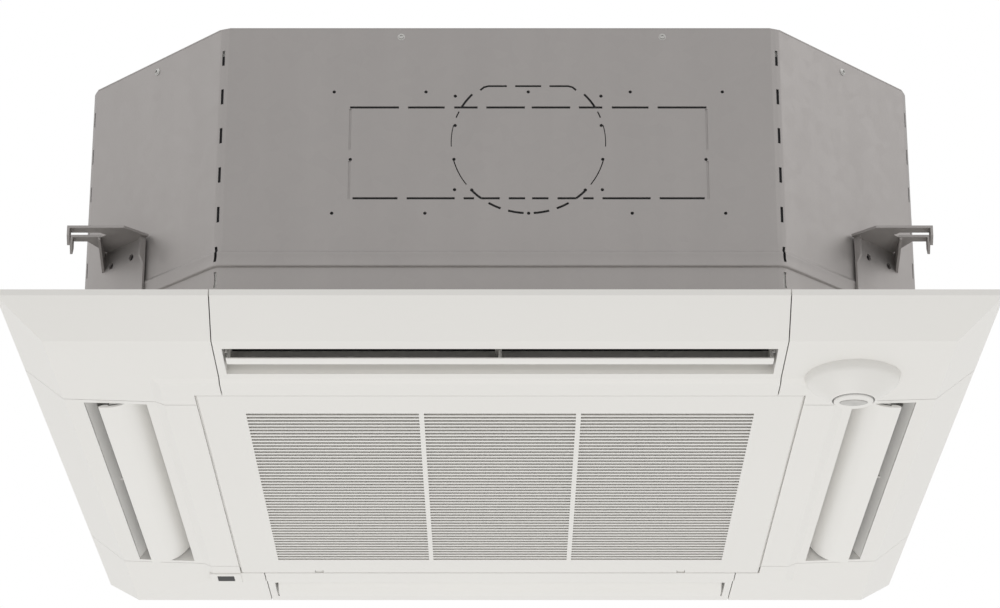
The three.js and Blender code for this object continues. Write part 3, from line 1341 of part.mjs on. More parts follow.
function drainHose() {
  const route = [
    [-PUMP_HALF, PUMP_HALF, pumpTop + GAP],
    [-PUMP_HALF, PUMP_HALF, pumpTop + 30],
    [-PUMP_HALF + 6, PUMP_HALF + 14, DRAIN_Z - 12],
    [-PUMP_HALF + 36, HOSE_LINE, DRAIN_Z],
    [DRAIN_X - 60, HOSE_LINE, DRAIN_Z],
    [DRAIN_X - 20, HOSE_LINE + 6, DRAIN_Z],
    [DRAIN_X, DRAIN_START - 8, DRAIN_Z],
    [DRAIN_X, DRAIN_START - GAP, DRAIN_Z],
  ];
  const curve = new THREE.CatmullRomCurve3(route.map((place) => new THREE.Vector3(...place)), false, "centripetal");
  return tube(curve, HOSE_RADIUS, 26);
}
add("drain_hose", drainHose(), FOAM);

const floatSwitch = new THREE.Group();
floatSwitch.position.set(FLOAT_X, FLOAT_Y, 0);
unit.add(floatSwitch);

const footTop = troughFoot + FLOAT_FOOT_HEIGHT;
const floatTop = footTop + GAP + FLOAT_HEIGHT;
const collarFoot = floatTop + FLOAT_TRAVEL + GAP;
const floatStem = turned([
  [0, troughFoot],
  [FLOAT_FOOT_RADIUS, troughFoot],
  [FLOAT_FOOT_RADIUS, footTop],
  [FLOAT_ROD_RADIUS, footTop],
  [FLOAT_ROD_RADIUS, collarFoot],
  [FLOAT_FOOT_RADIUS - 2, collarFoot],
  [FLOAT_FOOT_RADIUS - 2, collarFoot + 4],
  [0, collarFoot + 4],
], SMALL_ROUND);
add("float_stem", floatStem, WHITE_PLASTIC, floatSwitch);

const floatRing = turned([
  [FLOAT_ROD_RADIUS + RUN_GAP, footTop + GAP],
  [FLOAT_RADIUS, footTop + GAP],
  [FLOAT_RADIUS, floatTop],
  [FLOAT_ROD_RADIUS + RUN_GAP, floatTop],
], SMALL_ROUND);
add("float", floatRing, GREY_PLASTIC, floatSwitch);

// ---- Control box ----

const boxTop = BODY_BOTTOM - GAP;
const boxFoot = boxTop - BOX_HEIGHT;
const length = [-BOX_HALF_LENGTH, BOX_HALF_LENGTH];

function controlBox() {
  const box = block([BOX_INNER, BOX_OUTER], length, [boxFoot, boxTop]);
  const room = block(
    [BOX_INNER + BOX_WALL, BOX_OUTER - BOX_WALL],
    [-BOX_HALF_LENGTH + BOX_WALL, BOX_HALF_LENGTH - BOX_WALL],
    [boxFoot - THROUGH, boxTop - BOX_WALL],
  );
  return cut(box, room);
}
add("control_box", controlBox(), GALVANISED);

const boxCover = block([BOX_INNER, BOX_OUTER], length, [boxFoot - GAP - BOX_COVER, boxFoot - GAP]);
add("control_box_cover", boxCover, GALVANISED);

function controlBoard() {
  const margin = BOX_WALL + BOARD_CLEARANCE;
  const top = boxTop - BOX_WALL - BOARD_STANDOFF;
  const x = [BOX_INNER + margin, BOX_OUTER - margin];
  const y = [-BOX_HALF_LENGTH + margin, BOX_HALF_LENGTH - margin];
  const board = block(x, y, [top - BOARD_THICKNESS, top]);
  const post = rod(BOARD_POST_RADIUS, top - 0.5, boxTop - BOX_WALL - GAP, TUBE_SIDES);
  const inset = 2 * BOARD_CLEARANCE;
  const posts = [x[0] + inset, x[1] - inset].flatMap((px) =>
    [y[0] + inset, y[1] - inset].map((py) => post.translate([px, py, 0])),
  );
  const relay = block([x[0] + 6, x[0] + 24], [-30, -8], [top - BOARD_THICKNESS - 9, top - BOARD_THICKNESS + 0.5]);
  const relays = [-70, 0, 34, 90].map((y0) => relay.translate([y0 < 0 ? 0 : 8, y0, 0]));
  return join(board, posts, relays);
}
add("control_board", controlBoard(), BOARD_GREEN);

export default unit;
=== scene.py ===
# Four-way ceiling cassette air conditioner: a white panel under a galvanised casing.
# Metres, +Z up, the origin at the middle of the ceiling plane. -Y is the near side.
import json
import math

import bmesh
import bpy
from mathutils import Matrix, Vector


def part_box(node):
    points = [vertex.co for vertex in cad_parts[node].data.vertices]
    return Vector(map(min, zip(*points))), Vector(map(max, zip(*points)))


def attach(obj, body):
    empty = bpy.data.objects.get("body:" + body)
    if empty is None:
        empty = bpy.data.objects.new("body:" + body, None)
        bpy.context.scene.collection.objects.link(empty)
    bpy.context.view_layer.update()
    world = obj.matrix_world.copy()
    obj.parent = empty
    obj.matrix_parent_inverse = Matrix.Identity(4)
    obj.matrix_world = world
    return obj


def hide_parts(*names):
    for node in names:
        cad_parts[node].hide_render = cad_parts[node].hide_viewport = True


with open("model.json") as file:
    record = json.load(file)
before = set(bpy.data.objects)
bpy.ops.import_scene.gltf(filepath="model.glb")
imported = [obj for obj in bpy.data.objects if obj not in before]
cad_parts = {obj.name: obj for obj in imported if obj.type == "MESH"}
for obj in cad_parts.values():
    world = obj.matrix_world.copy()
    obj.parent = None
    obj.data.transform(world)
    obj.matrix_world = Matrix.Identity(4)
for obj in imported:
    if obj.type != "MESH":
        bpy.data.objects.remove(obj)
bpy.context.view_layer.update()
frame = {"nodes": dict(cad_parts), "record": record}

nodes = frame["nodes"]
MM = 0.001


# ---- Shader helpers ----

def paint(red, green, blue):
    """A colour as it is seen, 0 to 255, turned into the shader's linear colour."""
    linear = [((c / 255 + 0.055) / 1.055) ** 2.4 if c > 10 else c / 255 / 12.92 for c in (red, green, blue)]
    return (*linear, 1.0)


def shade(colour, factor):
    """The colour, darker or lighter by a factor."""
    return tuple(min(1, c * factor) for c in colour[:3]) + (1,)


class Level:
    """A value or colour in a finish. Python's operators on it add Math nodes."""

    def __init__(self, finish, socket):
        self.finish, self.socket = finish, socket

    def _math(self, operation, first, second):
        node = self.finish.node("ShaderNodeMath", {"operation": operation}, {0: first, 1: second})
        return Level(self.finish, node.outputs[0])

    def __add__(self, other):
        return self._math("ADD", self, other)

    def __sub__(self, other):
        return self._math("SUBTRACT", self, other)

    def __mul__(self, other):
        return self._math("MULTIPLY", self, other)

    def __pow__(self, other):
        return self._math("POWER", self, other)

    def __rsub__(self, other):
        return self._math("SUBTRACT", other, self)

    __radd__ = __add__
    __rmul__ = __mul__


class Network:
    """A tree of nodes that its methods add to."""

    def __init__(self, owner):
        owner.use_nodes = True
        self.tree = owner.node_tree

    def node(self, kind, settings=None, inputs=None):
        node = self.tree.nodes.new(kind)
        for name, value in (settings or {}).items():
            setattr(node, name, value)
        for name, value in (inputs or {}).items():
            self.feed(node.inputs[name], value)
        return node

    def feed(self, socket, value):
        value = value.socket if isinstance(value, Level) else value
        if isinstance(value, bpy.types.NodeSocket):
            self.tree.links.new(value, socket)
        else:
            socket.default_value = value


class Finish(Network):
    """A material whose looks come from nodes."""

    def __init__(self, name, metallic=0.0, coat=0.0):
        self.material = bpy.data.materials.new(name)
        super().__init__(self.material)
        self.shader = self.tree.nodes["Principled BSDF"]
        self.shader.inputs["Metallic"].default_value = metallic
        self.shader.inputs["Coat Weight"].default_value = coat
        self.place = self.node("ShaderNodeTexCoord").outputs["Object"]

    def noise(self, scale, detail=2.0, roughness=0.5, stretch=(1, 1, 1)):
        """Cloudy noise from 0 to 1. Scale is in cells per metre."""
        place = self.node("ShaderNodeMapping", inputs={"Vector": self.place, "Scale": stretch})
        node = self.node("ShaderNodeTexNoise", inputs={
            "Vector": place.outputs[0], "Scale": scale, "Detail": detail, "Roughness": roughness})
        return Level(self, node.outputs[0])

    def cells(self, scale, feature="F1", output="Distance"):
        node = self.node("ShaderNodeTexVoronoi", {"feature": feature}, {"Vector": self.place, "Scale": scale})
        return Level(self, node.outputs[output])

    def waves(self, scale, direction="X"):
        node = self.node("ShaderNodeTexWave", {"bands_direction": direction}, {"Vector": self.place, "Scale": scale})
        return Level(self, node.outputs["Fac"])

    def between(self, low, high, share):
        """A colour that goes from low to high as share goes from 0 to 1."""
        node = self.node("ShaderNodeMix", {"data_type": "RGBA"})
        self.feed(node.inputs["Factor"], share)
        self.feed(node.inputs[6], low)
        self.feed(node.inputs[7], high)
        return Level(self, node.outputs[2])

    def bump(self, height, depth, strength):
        node = self.node("ShaderNodeBump", inputs={"Height": height, "Distance": depth, "Strength": strength})
        return Level(self, node.outputs[0])

    def set(self, **inputs):
        for name, value in inputs.items():
            self.feed(self.shader.inputs[name.replace("_", " ")], value)
        return self.material


# ---- Finishes ----

def moulded(name, colour, roughness=0.42, depth=0.03 * MM):
    """Satin injection-moulded plastic: a fine spark texture and faint cloudiness."""
    finish = Finish(name)
    clouds = finish.noise(5, 3)
    grain = finish.noise(2400, 2)
    return finish.set(
        Base_Color=finish.between(shade(colour, 0.965), colour, clouds),
        Roughness=roughness - 0.05 + clouds * 0.08 + grain * 0.03,
        Normal=finish.bump(grain, depth, 0.5),
    )


def galvanised(name, colour, metallic=0.75):
    """Zinc-coated sheet: small dull spangles, long rolling streaks and a soft sheen."""
    finish = Finish(name, metallic=metallic)
    spangle = finish.cells(85, output="Color")
    tone = finish.node("ShaderNodeSeparateColor", inputs={0: spangle})
    flake = Level(finish, tone.outputs[0])
    clouds = finish.noise(7, 4, 0.6)
    streaks = finish.noise(26, 3, 0.5, (1, 1, 0.12))
    mix = flake * 0.3 + clouds * 0.45 + streaks * 0.35
    return finish.set(
        Base_Color=finish.between(shade(colour, 0.86), shade(colour, 1.1), mix),
        Roughness=0.5 + flake * 0.08 + clouds * 0.08,
        Normal=finish.bump(clouds * 0.6 + flake * 0.4, 0.03 * MM, 0.2),
    )


def bright_metal(name, colour, roughness=0.32, stretch=(1, 1, 12)):
    """Drawn or machined metal with fine scratches along it."""
    finish = Finish(name, metallic=1.0)
    scratches = finish.noise(900, 2, 0.6, stretch)
    clouds = finish.noise(25, 3)
    low = shade(colour, 0.82)
    return finish.set(
        Base_Color=finish.between(low, colour, clouds),
        Roughness=roughness - 0.06 + scratches * 0.16,
        Normal=finish.bump(scratches, 0.02 * MM, 0.5),
    )


def foam(name, colour, bead=260, depth=0.5 * MM):
    """Closed-cell foam, with its beads in relief."""
    finish = Finish(name)
    beads = finish.cells(bead)
    clouds = finish.noise(30, 3)
    low = shade(colour, 0.8)
    return finish.set(
        Base_Color=finish.between(low, colour, clouds),
        Roughness=0.8 + clouds * 0.15,
        Normal=finish.bump(1 - beads, depth, 0.6),
    )


def fins(name, colour):
    """Stacked aluminium fins, seen edge on as fine upright lines, with painted shade in the dark bands between them.
    """
    finish = Finish(name, metallic=0.85)
    edges = finish.waves(300, "DIAGONAL")
    clouds = finish.noise(12, 2)
    # The darker colour is painted shade for the gaps between the fins
    low = shade(colour, 0.35)
    return finish.set(
        Base_Color=finish.between(low, colour, edges ** 0.6),
        Roughness=0.34 + clouds * 0.2,
        Normal=finish.bump(edges, 0.5 * MM, 0.8),
    )


def net(name, colour):
    """A fine woven net."""
    finish = Finish(name)
    warp, weft = finish.waves(500, "X"), finish.waves(500, "Y")
    weave = warp * weft
    low = shade(colour, 0.6)
    return finish.set(
        Base_Color=finish.between(low, colour, weave ** 0.5),
        Roughness=0.7 + weave * 0.2,
        Normal=finish.bump(weave, 0.4 * MM, 0.8),
    )


def laminate(name, colour):
    """A circuit board's lacquer over faint tracks."""
    finish = Finish(name, coat=0.3)
    tracks = finish.cells(130, "DISTANCE_TO_EDGE")
    clouds = finish.noise(40, 2)
    high = shade(colour, 1.7)
    return finish.set(
        Base_Color=finish.between(high, colour, tracks ** 0.25),
        Roughness=0.35 + clouds * 0.15,
        Normal=finish.bump(tracks, 0.05 * MM, 0.5),
    )


def tinted(name, colour, roughness=0.14, coat=0.6):
    """Clear-faced tinted plastic: near black or grey, with a polished skin."""
    finish = Finish(name, coat=coat)
    depth = finish.noise(120, 2)
    low = shade(colour, 0.6)
    return finish.set(
        Base_Color=finish.between(low, colour, depth),
        Roughness=roughness + depth * 0.05,
        Normal=finish.bump(depth, 0.02 * MM, 0.3),
    )


FINISHES = {
    "white_panel": moulded("white_panel", paint(229, 227, 223)),
    "grille_white": moulded("grille_white", paint(228, 226, 222), 0.45),
    "vane_white": moulded("vane_white", paint(231, 229, 225), 0.38),
    "grey_plastic": moulded("grey_plastic", paint(138, 137, 136), 0.5),
    "dark_window": tinted("dark_window", paint(42, 42, 43), 0.5, 0.0),
    "lens": tinted("lens", paint(206, 204, 200), 0.35, 0.2),
    "galvanised": galvanised("galvanised", paint(162, 158, 156)),
    "steel": bright_metal("steel", paint(190, 189, 186)),
    "copper": bright_metal("copper", paint(196, 122, 88)),
    "brass": bright_metal("brass", paint(201, 170, 98), 0.3, (1, 12, 1)),
    "fins": fins("fins", paint(205, 208, 210)),
    "foam": foam("foam", paint(48, 48, 50)),
    "white_foam": foam("white_foam", paint(236, 235, 231), 220),
    "net": net("net", paint(176, 174, 172)),
    "board": laminate("board", paint(40, 96, 62)),
}


# ---- The carried-over CAD pieces ----

SLOT_OF = {}
for part in frame["record"]["subparts"]:
    SLOT_OF[part["node"]] = part["material_slot"]

# How wide each node's edges are rounded, where it isn't EDGE
EDGE = 0.4
EDGES = {
    "panel_frame": 0.7, "intake_grille": 0.3, "drain_pan": 1.5, "control_board": 0.2, "air_filter": 0.3,
}
FLAT_ANGLE, EDGE_ANGLE = 0.6, 28  # faces nearer than the first are one face, edges over the second are rounded


def soften(node, width):
    """Rounds a CAD node's edges with modifiers and shades it smoothly."""
    flat = node.modifiers.new("faces", "DECIMATE")
    flat.decimate_type, flat.angle_limit = "DISSOLVE", math.radians(FLAT_ANGLE)
    edge = node.modifiers.new("edges", "BEVEL")
    edge.width, edge.segments = width * MM, 2
    edge.limit_method, edge.angle_limit = "ANGLE", math.radians(EDGE_ANGLE)
    edge.use_clamp_overlap = True
    edge.harden_normals = True
    for face in node.data.polygons:
        face.use_smooth = True
    corner = node.modifiers.new("corners", "WEIGHTED_NORMAL")
    corner.keep_sharp = True


for name, node in nodes.items():
    node.data.materials.clear()
    node.data.materials.append(FINISHES[SLOT_OF[name]])
    soften(node, EDGES.get(name, EDGE))


# ---- Mesh helpers: millimetres, as in the CAD source ----

def circle(x, y, radius, sides):
    """A ring of points about a place."""
    angles = (2 * math.pi * i / sides for i in range(sides))
    return [(x + radius * math.cos(a), y + radius * math.sin(a)) for a in angles]


def along_y(a, b, depth):
    """Place of an outline's point in X and Z, at a depth along Y."""
    return a, depth, b


def on_front(a, b, depth):
    """The same on the near side, where depth counts towards -Y."""
    return a, -depth, b


class Form:
    """Points and faces that become one piece."""

    def __init__(self):
        self.points, self.faces = [], []

    def add(self, points, faces):
        start = len(self.points)
        self.points += [Vector(point) for point in points]
        self.faces += [[start + i for i in face] for face in faces]

    def loft(self, rings, capped=True):
        """Skin over closed rings with as many points each, wound anticlockwise seen from the last ring."""
        size = len(rings[0])
        faces = []
        for level in range(len(rings) - 1):
            for i in range(size):
                j = (i + 1) % size
                low, high = level * size, (level + 1) * size
                faces.append((low + i, low + j, high + j, high + i))
        if capped:
            faces.append(tuple(reversed(range(size))))
            faces.append(tuple(range((len(rings) - 1) * size, len(rings) * size)))
        self.add([point for ring in rings for point in ring], faces)

    def extrude(self, outline, low, high, place):
        """An outline of two numbers a point, from one depth to another. place(a, b, depth) gives a point."""
        rings = [[place(a, b, depth) for a, b in outline] for depth in (low, high)]
        self.loft(rings)

    def lathe(self, profile, sides, place=lambda x, y, z: (x, y, z)):
        """A profile of radius and height, turned round an axis.

        The first and the last ring are capped, so a profile that ends where it starts has a disc there twice.
        """
        rings = []
        for radius, height in profile:
            ring = circle(0, 0, max(radius, 0.001), sides)
            rings.append([place(x, y, height) for x, y in ring])
        self.loft(rings)

    def object(self, name):
        mesh = bpy.data.meshes.new(name)
        mesh.from_pydata([point * MM for point in self.points], [], self.faces)
        made = bmesh.new()
        made.from_mesh(mesh)
        bmesh.ops.recalc_face_normals(made, faces=made.faces)
        made.to_mesh(mesh)
        made.free()
        piece = bpy.data.objects.new(name, mesh)
        bpy.context.scene.collection.objects.link(piece)
        return piece


def finish_piece(piece, slot, body="root", replaced=(), sharp=30, weighted=False):
    """Gives a piece its finish, shading, body and the CAD nodes it stands for."""
    piece.data.materials.clear()
    piece.data.materials.append(FINISHES[slot])
    for face in piece.data.polygons:
        face.use_smooth = True
    piece.data.set_sharp_from_angle(angle=math.radians(sharp))
    if weighted:
        piece.modifiers.new("corners", "WEIGHTED_NORMAL").keep_sharp = True
    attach(piece, body)
    if replaced:
        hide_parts(*replaced)
    return piece


def cut(piece, form):
    """Takes the form's solids out of a piece."""
    tool = form.object("tool")
    change = piece.modifiers.new("cut", "BOOLEAN")
    change.operation, change.solver, change.object = "DIFFERENCE", "EXACT", tool
    change.use_self = True
    graph = bpy.context.evaluated_depsgraph_get()
    mesh = bpy.data.meshes.new_from_object(piece.evaluated_get(graph))
    piece.modifiers.remove(change)
    piece.data = mesh
    bpy.data.objects.remove(tool)


def quarter_turned(point, quarters):
    """Turns a point about the unit's centre line."""
    x, y, z = point
    for _ in range(quarters % 4):
        x, y = -y, x
    return x, y, z


def spline(points, steps):
    """A Catmull-Rom curve through the points."""
    ends = [points[0], *points, points[-1]]
    curve = []
    for i in range(steps + 1):
        at = i / steps * (len(points) - 1)
        k = min(int(at), len(points) - 2)
        t = at - k
        p0, p1, p2, p3 = ends[k:k + 4]
        curve.append(tuple(
            0.5 * (2 * b + (c - a) * t + (2 * a - 5 * b + 4 * c - d) * t * t + (3 * b - a - 3 * c + d) * t ** 3)
            for a, b, c, d in zip(p0, p1, p2, p3)))
    return curve


def normals(path):
    """Unit normals to the left of an open path, one for each point."""
    result = []
    for i in range(len(path)):
        before, after = path[max(i - 1, 0)], path[min(i + 1, len(path) - 1)]
        dx, dy = after[0] - before[0], after[1] - before[1]
        length = math.hypot(dx, dy)
        result.append((-dy / length, dx / length))
    return result


# ---- Casing: pressed and punched sheet ----

BODY_HALF, CHAMFER_HALF, SHEET = 420, 274, 1.2
BODY_BOTTOM, WALL_TOP = 4, 300.5
HALVES_GAP = 0.15  # from the middle of the unit to where each half wall ends

BEND = 6.2  # from a corner of the outline to where its bend starts
BEND_TURN, BEND_STEPS = 45, 12
SEAM_RISE, SEAM_PLACE, SEAM_WIDTH = 0.55, 0.02, 0.07  # place and width are shares of the bend
DIP_DEPTH, DIP_PLACE, DIP_WIDTH = 0.5, 0.5, 0.3

# Height, how far the sheet stands proud, and how much of the bends' seams and dips shows
WALL_LEVELS = [
    (BODY_BOTTOM, 0, 0), (BODY_BOTTOM + 0.6, 0.1, 0), (16, 0, 0.3), (30, 0, 0.3), (44.5, 0, 0), (44.9, 0.2, 0),
    (45.5, 1.1, 0), (46.1, 1.75, 0), (46.8, 2.0, 0), (48.2, 2.0, 0), (49.4, 1.7, 0), (53.4, 1.55, 0),
    (57.6, 1.7, 0), (58.8, 2.0, 0), (59.9, 1.9, 0), (60.8, 1.4, 0), (61.6, 0.7, 0), (62.4, 0.2, 0),
    (63.2, 0, 0), (68, 0, 0.4), (78, 0, 1), (180, 0, 1), (WALL_TOP, 0, 1),
]


def wall_path():
    """Front half of the casing's outline from -X to +X: place, outward normal and seam rise of each point.

    The rise at a flat side's edge runs on across that side, so its sheet is up to 0.5 mm thicker than SHEET.
    """
    corners = [(-BODY_HALF, -CHAMFER_HALF), (-CHAMFER_HALF, -BODY_HALF),
               (CHAMFER_HALF, -BODY_HALF), (BODY_HALF, -CHAMFER_HALF)]
    half_turn = math.radians(BEND_TURN / 2)
    radius = BEND / math.tan(half_turn)
    reach = radius / math.cos(half_turn)
    path = [((-BODY_HALF, -HALVES_GAP), (-1, 0), 0)]
    for number, corner in enumerate(corners):
        heading = 180 + BEND_TURN * number  # direction of the outward normal before the bend
        flat_first = number in (0, 2)  # the flat side comes before this bend, the chamfer after it
        middle = math.radians(heading + BEND_TURN / 2)
        centre = (corner[0] - math.cos(middle) * reach, corner[1] - math.sin(middle) * reach)
        for step in range(BEND_STEPS + 1):
            angle = math.radians(heading + BEND_TURN * step / BEND_STEPS)
            normal = (math.cos(angle), math.sin(angle))
            share = step / BEND_STEPS if flat_first else 1 - step / BEND_STEPS
            seam = SEAM_RISE * math.exp(-((share - SEAM_PLACE) / SEAM_WIDTH) ** 2)
            dip = DIP_DEPTH * math.exp(-((share - DIP_PLACE) / DIP_WIDTH) ** 4)
            path.append(((centre[0] + normal[0] * radius, centre[1] + normal[1] * radius), normal, seam - dip))
    path.append(((BODY_HALF, -HALVES_GAP), (1, 0), 0))
    return path


def casing_wall(name, quarters):
    """One half of the casing's wall, before it is punched."""
    path = wall_path()
    form = Form()
    rings = []
    for z, proud, seam in WALL_LEVELS:
        outer, inner = [], []
        for (x, y), (nx, ny), rise in path:
            out, back = proud + rise * seam, proud - SHEET
            outer.append((x + nx * out, y + ny * out, z))
            inner.append((x + nx * back, y + ny * back, z))
        rings.append([quarter_turned(point, quarters) for point in outer + inner[::-1]])
    form.loft(rings, capped=False)
    size, half = len(rings[0]), len(path)
    for start in (0, (len(rings) - 1) * size):
        for i in range(half - 1):
            form.faces.append([start + i, start + i + 1, start + size - 2 - i, start + size - 1 - i])
    return form.object(name)


SLOT_HEIGHTS = [32.5] + [59 + 42.1 * i for i in range(6)]
SLOT_HALF_WIDTH, SLOT_HALF_HEIGHT, SLOT_SHIFT = 1.45, 8.2, 0.4
SLOT_BOW, BOWED_BELOW = 0.9, 70
SLOT_CUT = (-6, 8)


def bend_slots(form):
    """Upright relief slots on every bend. The lowest two are slightly bowed."""
    lean = BEND * math.sqrt(0.5)
    x = CHAMFER_HALF + (lean - BEND) / 2 + SLOT_SHIFT
    y = BODY_HALF - lean / 2
    turn = math.radians(BEND_TURN / 2)
    cos, sin = math.cos(turn), math.sin(turn)
    shares = (-1, -0.5, 0, 0.5, 1)
    for quarters in range(4):
        for mirrored in (False, True):
            for z in SLOT_HEIGHTS:
                bow = SLOT_BOW if z < BOWED_BELOW else 0.0
                outline = [(-SLOT_HALF_WIDTH + bow * s * s, SLOT_HALF_HEIGHT * s) for s in shares]
                outline += [(SLOT_HALF_WIDTH + bow * s * s, SLOT_HALF_HEIGHT * s) for s in shares[::-1]]

                def place(along, up, out):
                    px, py = x + along * cos + out * sin, y - along * sin + out * cos
                    point = (py, px, z + up) if mirrored else (px, py, z + up)
                    return quarter_turned(point, quarters)
                form.extrude(outline, *SLOT_CUT, place)


CUT_INWARD, CUT_OUTWARD = 8, 4  # how far a cutter goes either side of the wall's face


def front_tool(form, line, width, depth=CUT_INWARD):
    """A cutter along a line of X and Z on the front wall."""
    sides = normals(line)
    half = width / 2
    outline = [(x + nx * half, z + nz * half) for (x, z), (nx, nz) in zip(line, sides)]
    outline += [(x - nx * half, z - nz * half) for (x, z), (nx, nz) in reversed(list(zip(line, sides)))]
    form.extrude(outline, BODY_HALF - depth, BODY_HALF + CUT_OUTWARD, on_front)


KNOCKOUT_X = 27.8
SLOT_WIDTH = 2.3
HIGH_ROW, LOW_ROW = 214.8, 117.4
SLOTS_HIGH = [(3.4, 41.2), (49.8, 72.8), (82.2, 118.2), (127.2, 175.2)]
SLOTS_LOW = [(3.4, 19.3), (28.1, 46.2), (53, 63.2), (71.8, 118.6), (127.4, 171.2)]
# Angles of the slots round the circle from its foot, with their width
ARCS = [
    (3.7, 15.3, 2.3), (21.1, 31, 2.3), (37.6, 47.2, 2.3), (53.2, 75.9, 1.1), (86.4, 104, 0.9),
    (110.5, 115.9, 1.3), (120.4, 133.3, 2.2),
]
ARC_RADIUS, ARC_MIDDLE, ARC_STEPS = 75.6, 177.3, 8
SHOULDER = [(47.2, 233.6), (43.6, 236.8), (39.4, 238), (21, 238)]
SHOULDER_MIDDLE = [(15, 238), (40.6, 238)]
SHOULDER_WIDTH = 2.0
END_X, END_WIDTH, END_DEPTH = 174.8, 2.2, 0.35  # the grooves at the two ends don't go through
END_GROOVES = [(169.5, 213), (116.5, 157)]
HOLE_RADIUS, HOLE_SIDES = 1.7, 12
HOLES = [(x, z) for z in (231.7, 101.6) for x in (-163.3, -72.9, 27.8, 128.3, 219)]
HOLES += [
    (-44, 227.1), (99.4, 227.1), (-44, 195.3), (99.4, 195.3), (-146.2, 158.8), (-45, 158.9), (100.4, 158.9),
    (201.2, 158.8), (-44.2, 126.5), (99.6, 126.5), (-27.5, 126.2), (83, 126.2),
]


def knockouts(form):
    """The oblong and the round knock-out of the front wall, and the holes about them."""
    for side in (1, -1):
        for slots, z in ((SLOTS_HIGH, HIGH_ROW), (SLOTS_LOW, LOW_ROW)):
            for start, end in slots:
                front_tool(form, [(KNOCKOUT_X + side * start, z), (KNOCKOUT_X + side * end, z)], SLOT_WIDTH)
        for start, end, width in ARCS:
            angles = [math.radians(start + (end - start) * i / ARC_STEPS) for i in range(ARC_STEPS + 1)]
            line = [(KNOCKOUT_X + side * ARC_RADIUS * math.sin(a), ARC_MIDDLE - ARC_RADIUS * math.cos(a))
                    for a in angles]
            front_tool(form, line, width)
        front_tool(form, [(KNOCKOUT_X + side * x, z) for x, z in SHOULDER], SHOULDER_WIDTH)
        for low, high in END_GROOVES:
            x = KNOCKOUT_X + side * END_X
            front_tool(form, [(x, low), (x, high)], END_WIDTH, END_DEPTH)
    front_tool(form, SHOULDER_MIDDLE, SHOULDER_WIDTH)
    for x, z in HOLES:
        ring = circle(x, z, HOLE_RADIUS, HOLE_SIDES)
        form.extrude(ring, BODY_HALF - CUT_INWARD, BODY_HALF + CUT_OUTWARD, on_front)


PIPE_MARGIN = 6  # how far the pipe plate laps over its opening
DRAIN_HEIGHT, DRAIN_RADIUS, DRAIN_SIDES = 205, 16.6, 32
CASING_SHARP = 34


def add_casing():
    """The casing's two half walls: knock-outs in front, pipe opening and drain hole at the back."""
    front = casing_wall("casing_front", 0)
    holes = Form()
    bend_slots(holes)
    knockouts(holes)
    cut(front, holes)
    finish_piece(front, "galvanised", "root", ["shell_front"], CASING_SHARP, True)
    back = casing_wall("casing_back", 2)
    holes = Form()
    bend_slots(holes)
    inside, outside = BODY_HALF - CUT_INWARD, BODY_HALF + CUT_OUTWARD
    low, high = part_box("pipe_plate")
    x0, x1 = low[0] / MM + PIPE_MARGIN, high[0] / MM - PIPE_MARGIN
    z0, z1 = low[2] / MM + PIPE_MARGIN, high[2] / MM - PIPE_MARGIN
    holes.extrude([(x0, z0), (x1, z0), (x1, z1), (x0, z1)], inside, outside, along_y)
    low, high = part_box("drain_socket")
    ring = circle((low[0] + high[0]) / 2 / MM, DRAIN_HEIGHT, DRAIN_RADIUS, DRAIN_SIDES)
    holes.extrude(ring, inside, outside, along_y)
    cut(back, holes)
    finish_piece(back, "galvanised", "root", ["shell_back"], CASING_SHARP, True)


add_casing()


# ---- Small screws ----

SCREW_RADIUS, SCREW_SIDES = 3.6, 24
# Share of the radius, and height over the sheet
SCREW_HEAD = [(1, -0.6), (1, 0.5), (0.8, 0.7), (0.66, 1.5), (0.5, 1.8), (0.42, 1.8), (0.4, 0.7), (0, 0.6)]
SIDE_SCREWS, SIDE_SCREW_HEIGHT, CHAMFER_SCREW_HEIGHT = (-97.9, 161), 292, 289


def screw(form, at, outward):
    """A low washer-head screw with a round recess."""
    turn = Vector(outward).normalized().to_track_quat("Z", "Y").to_matrix()

    def place(x, y, z):
        return Vector(at) + turn @ Vector((x, y, z))
    form.lathe([(SCREW_RADIUS * share, height) for share, height in SCREW_HEAD], SCREW_SIDES, place)


def add_screws():
    """Two screws on each side of the casing and one on each chamfer."""
    form = Form()
    middle = (BODY_HALF + CHAMFER_HALF) / 2
    for side in range(4):
        for x in SIDE_SCREWS:
            place = quarter_turned((x, -BODY_HALF, SIDE_SCREW_HEIGHT), side)
            screw(form, place, quarter_turned((0, -1, 0), side))
        place = quarter_turned((middle, -middle, CHAMFER_SCREW_HEIGHT), side)
        screw(form, place, quarter_turned((1, -1, 0), side))
    finish_piece(form.object("casing_screws"), "steel")


add_screws()


# ---- Vanes ----

PIVOT = (380, -25)
VANE_HALF, VANE_THICK, VANE_STEPS = 263, 3, 26
VANE_LIP, LIP_STEPS = 1, 3  # the outer edge's thickness, and the steps until it is VANE_THICK
VANE_FACE = [(21.5, -17), (8, -16.6), (-2.5, -13.8), (-13, -7.2), (-24.6, 5.4)]
VANE_RIB = [
    (12, -15.2), (6, -3), (5, 1), (3.5, 3.8), (0, 5), (-3.5, 3.8), (-5, 1), (-8, -3), (-13, -6), (-3, -12.5),
]
RIB_THICK = 3
PIN_LOW, PIN_HIGH, PIN_OVERLAP, PIN_RADIUS, PIN_SIDES = -274, 281, 1, 3, 24
VANE_SHARP = 40
SIDES = {"back": 0, "left": 1, "front": 2, "right": 3}


def vane_section():
    """Outline of the vane, measured from its pivot: outwards, up."""
    face = spline(VANE_FACE, VANE_STEPS)
    back = []
    for i, ((y, z), (ny, nz)) in enumerate(zip(face, normals(face))):
        thick = VANE_LIP + (VANE_THICK - VANE_LIP) * min(i / LIP_STEPS, 1)
        back.append((y - ny * thick, z - nz * thick))
    return face + back[::-1]


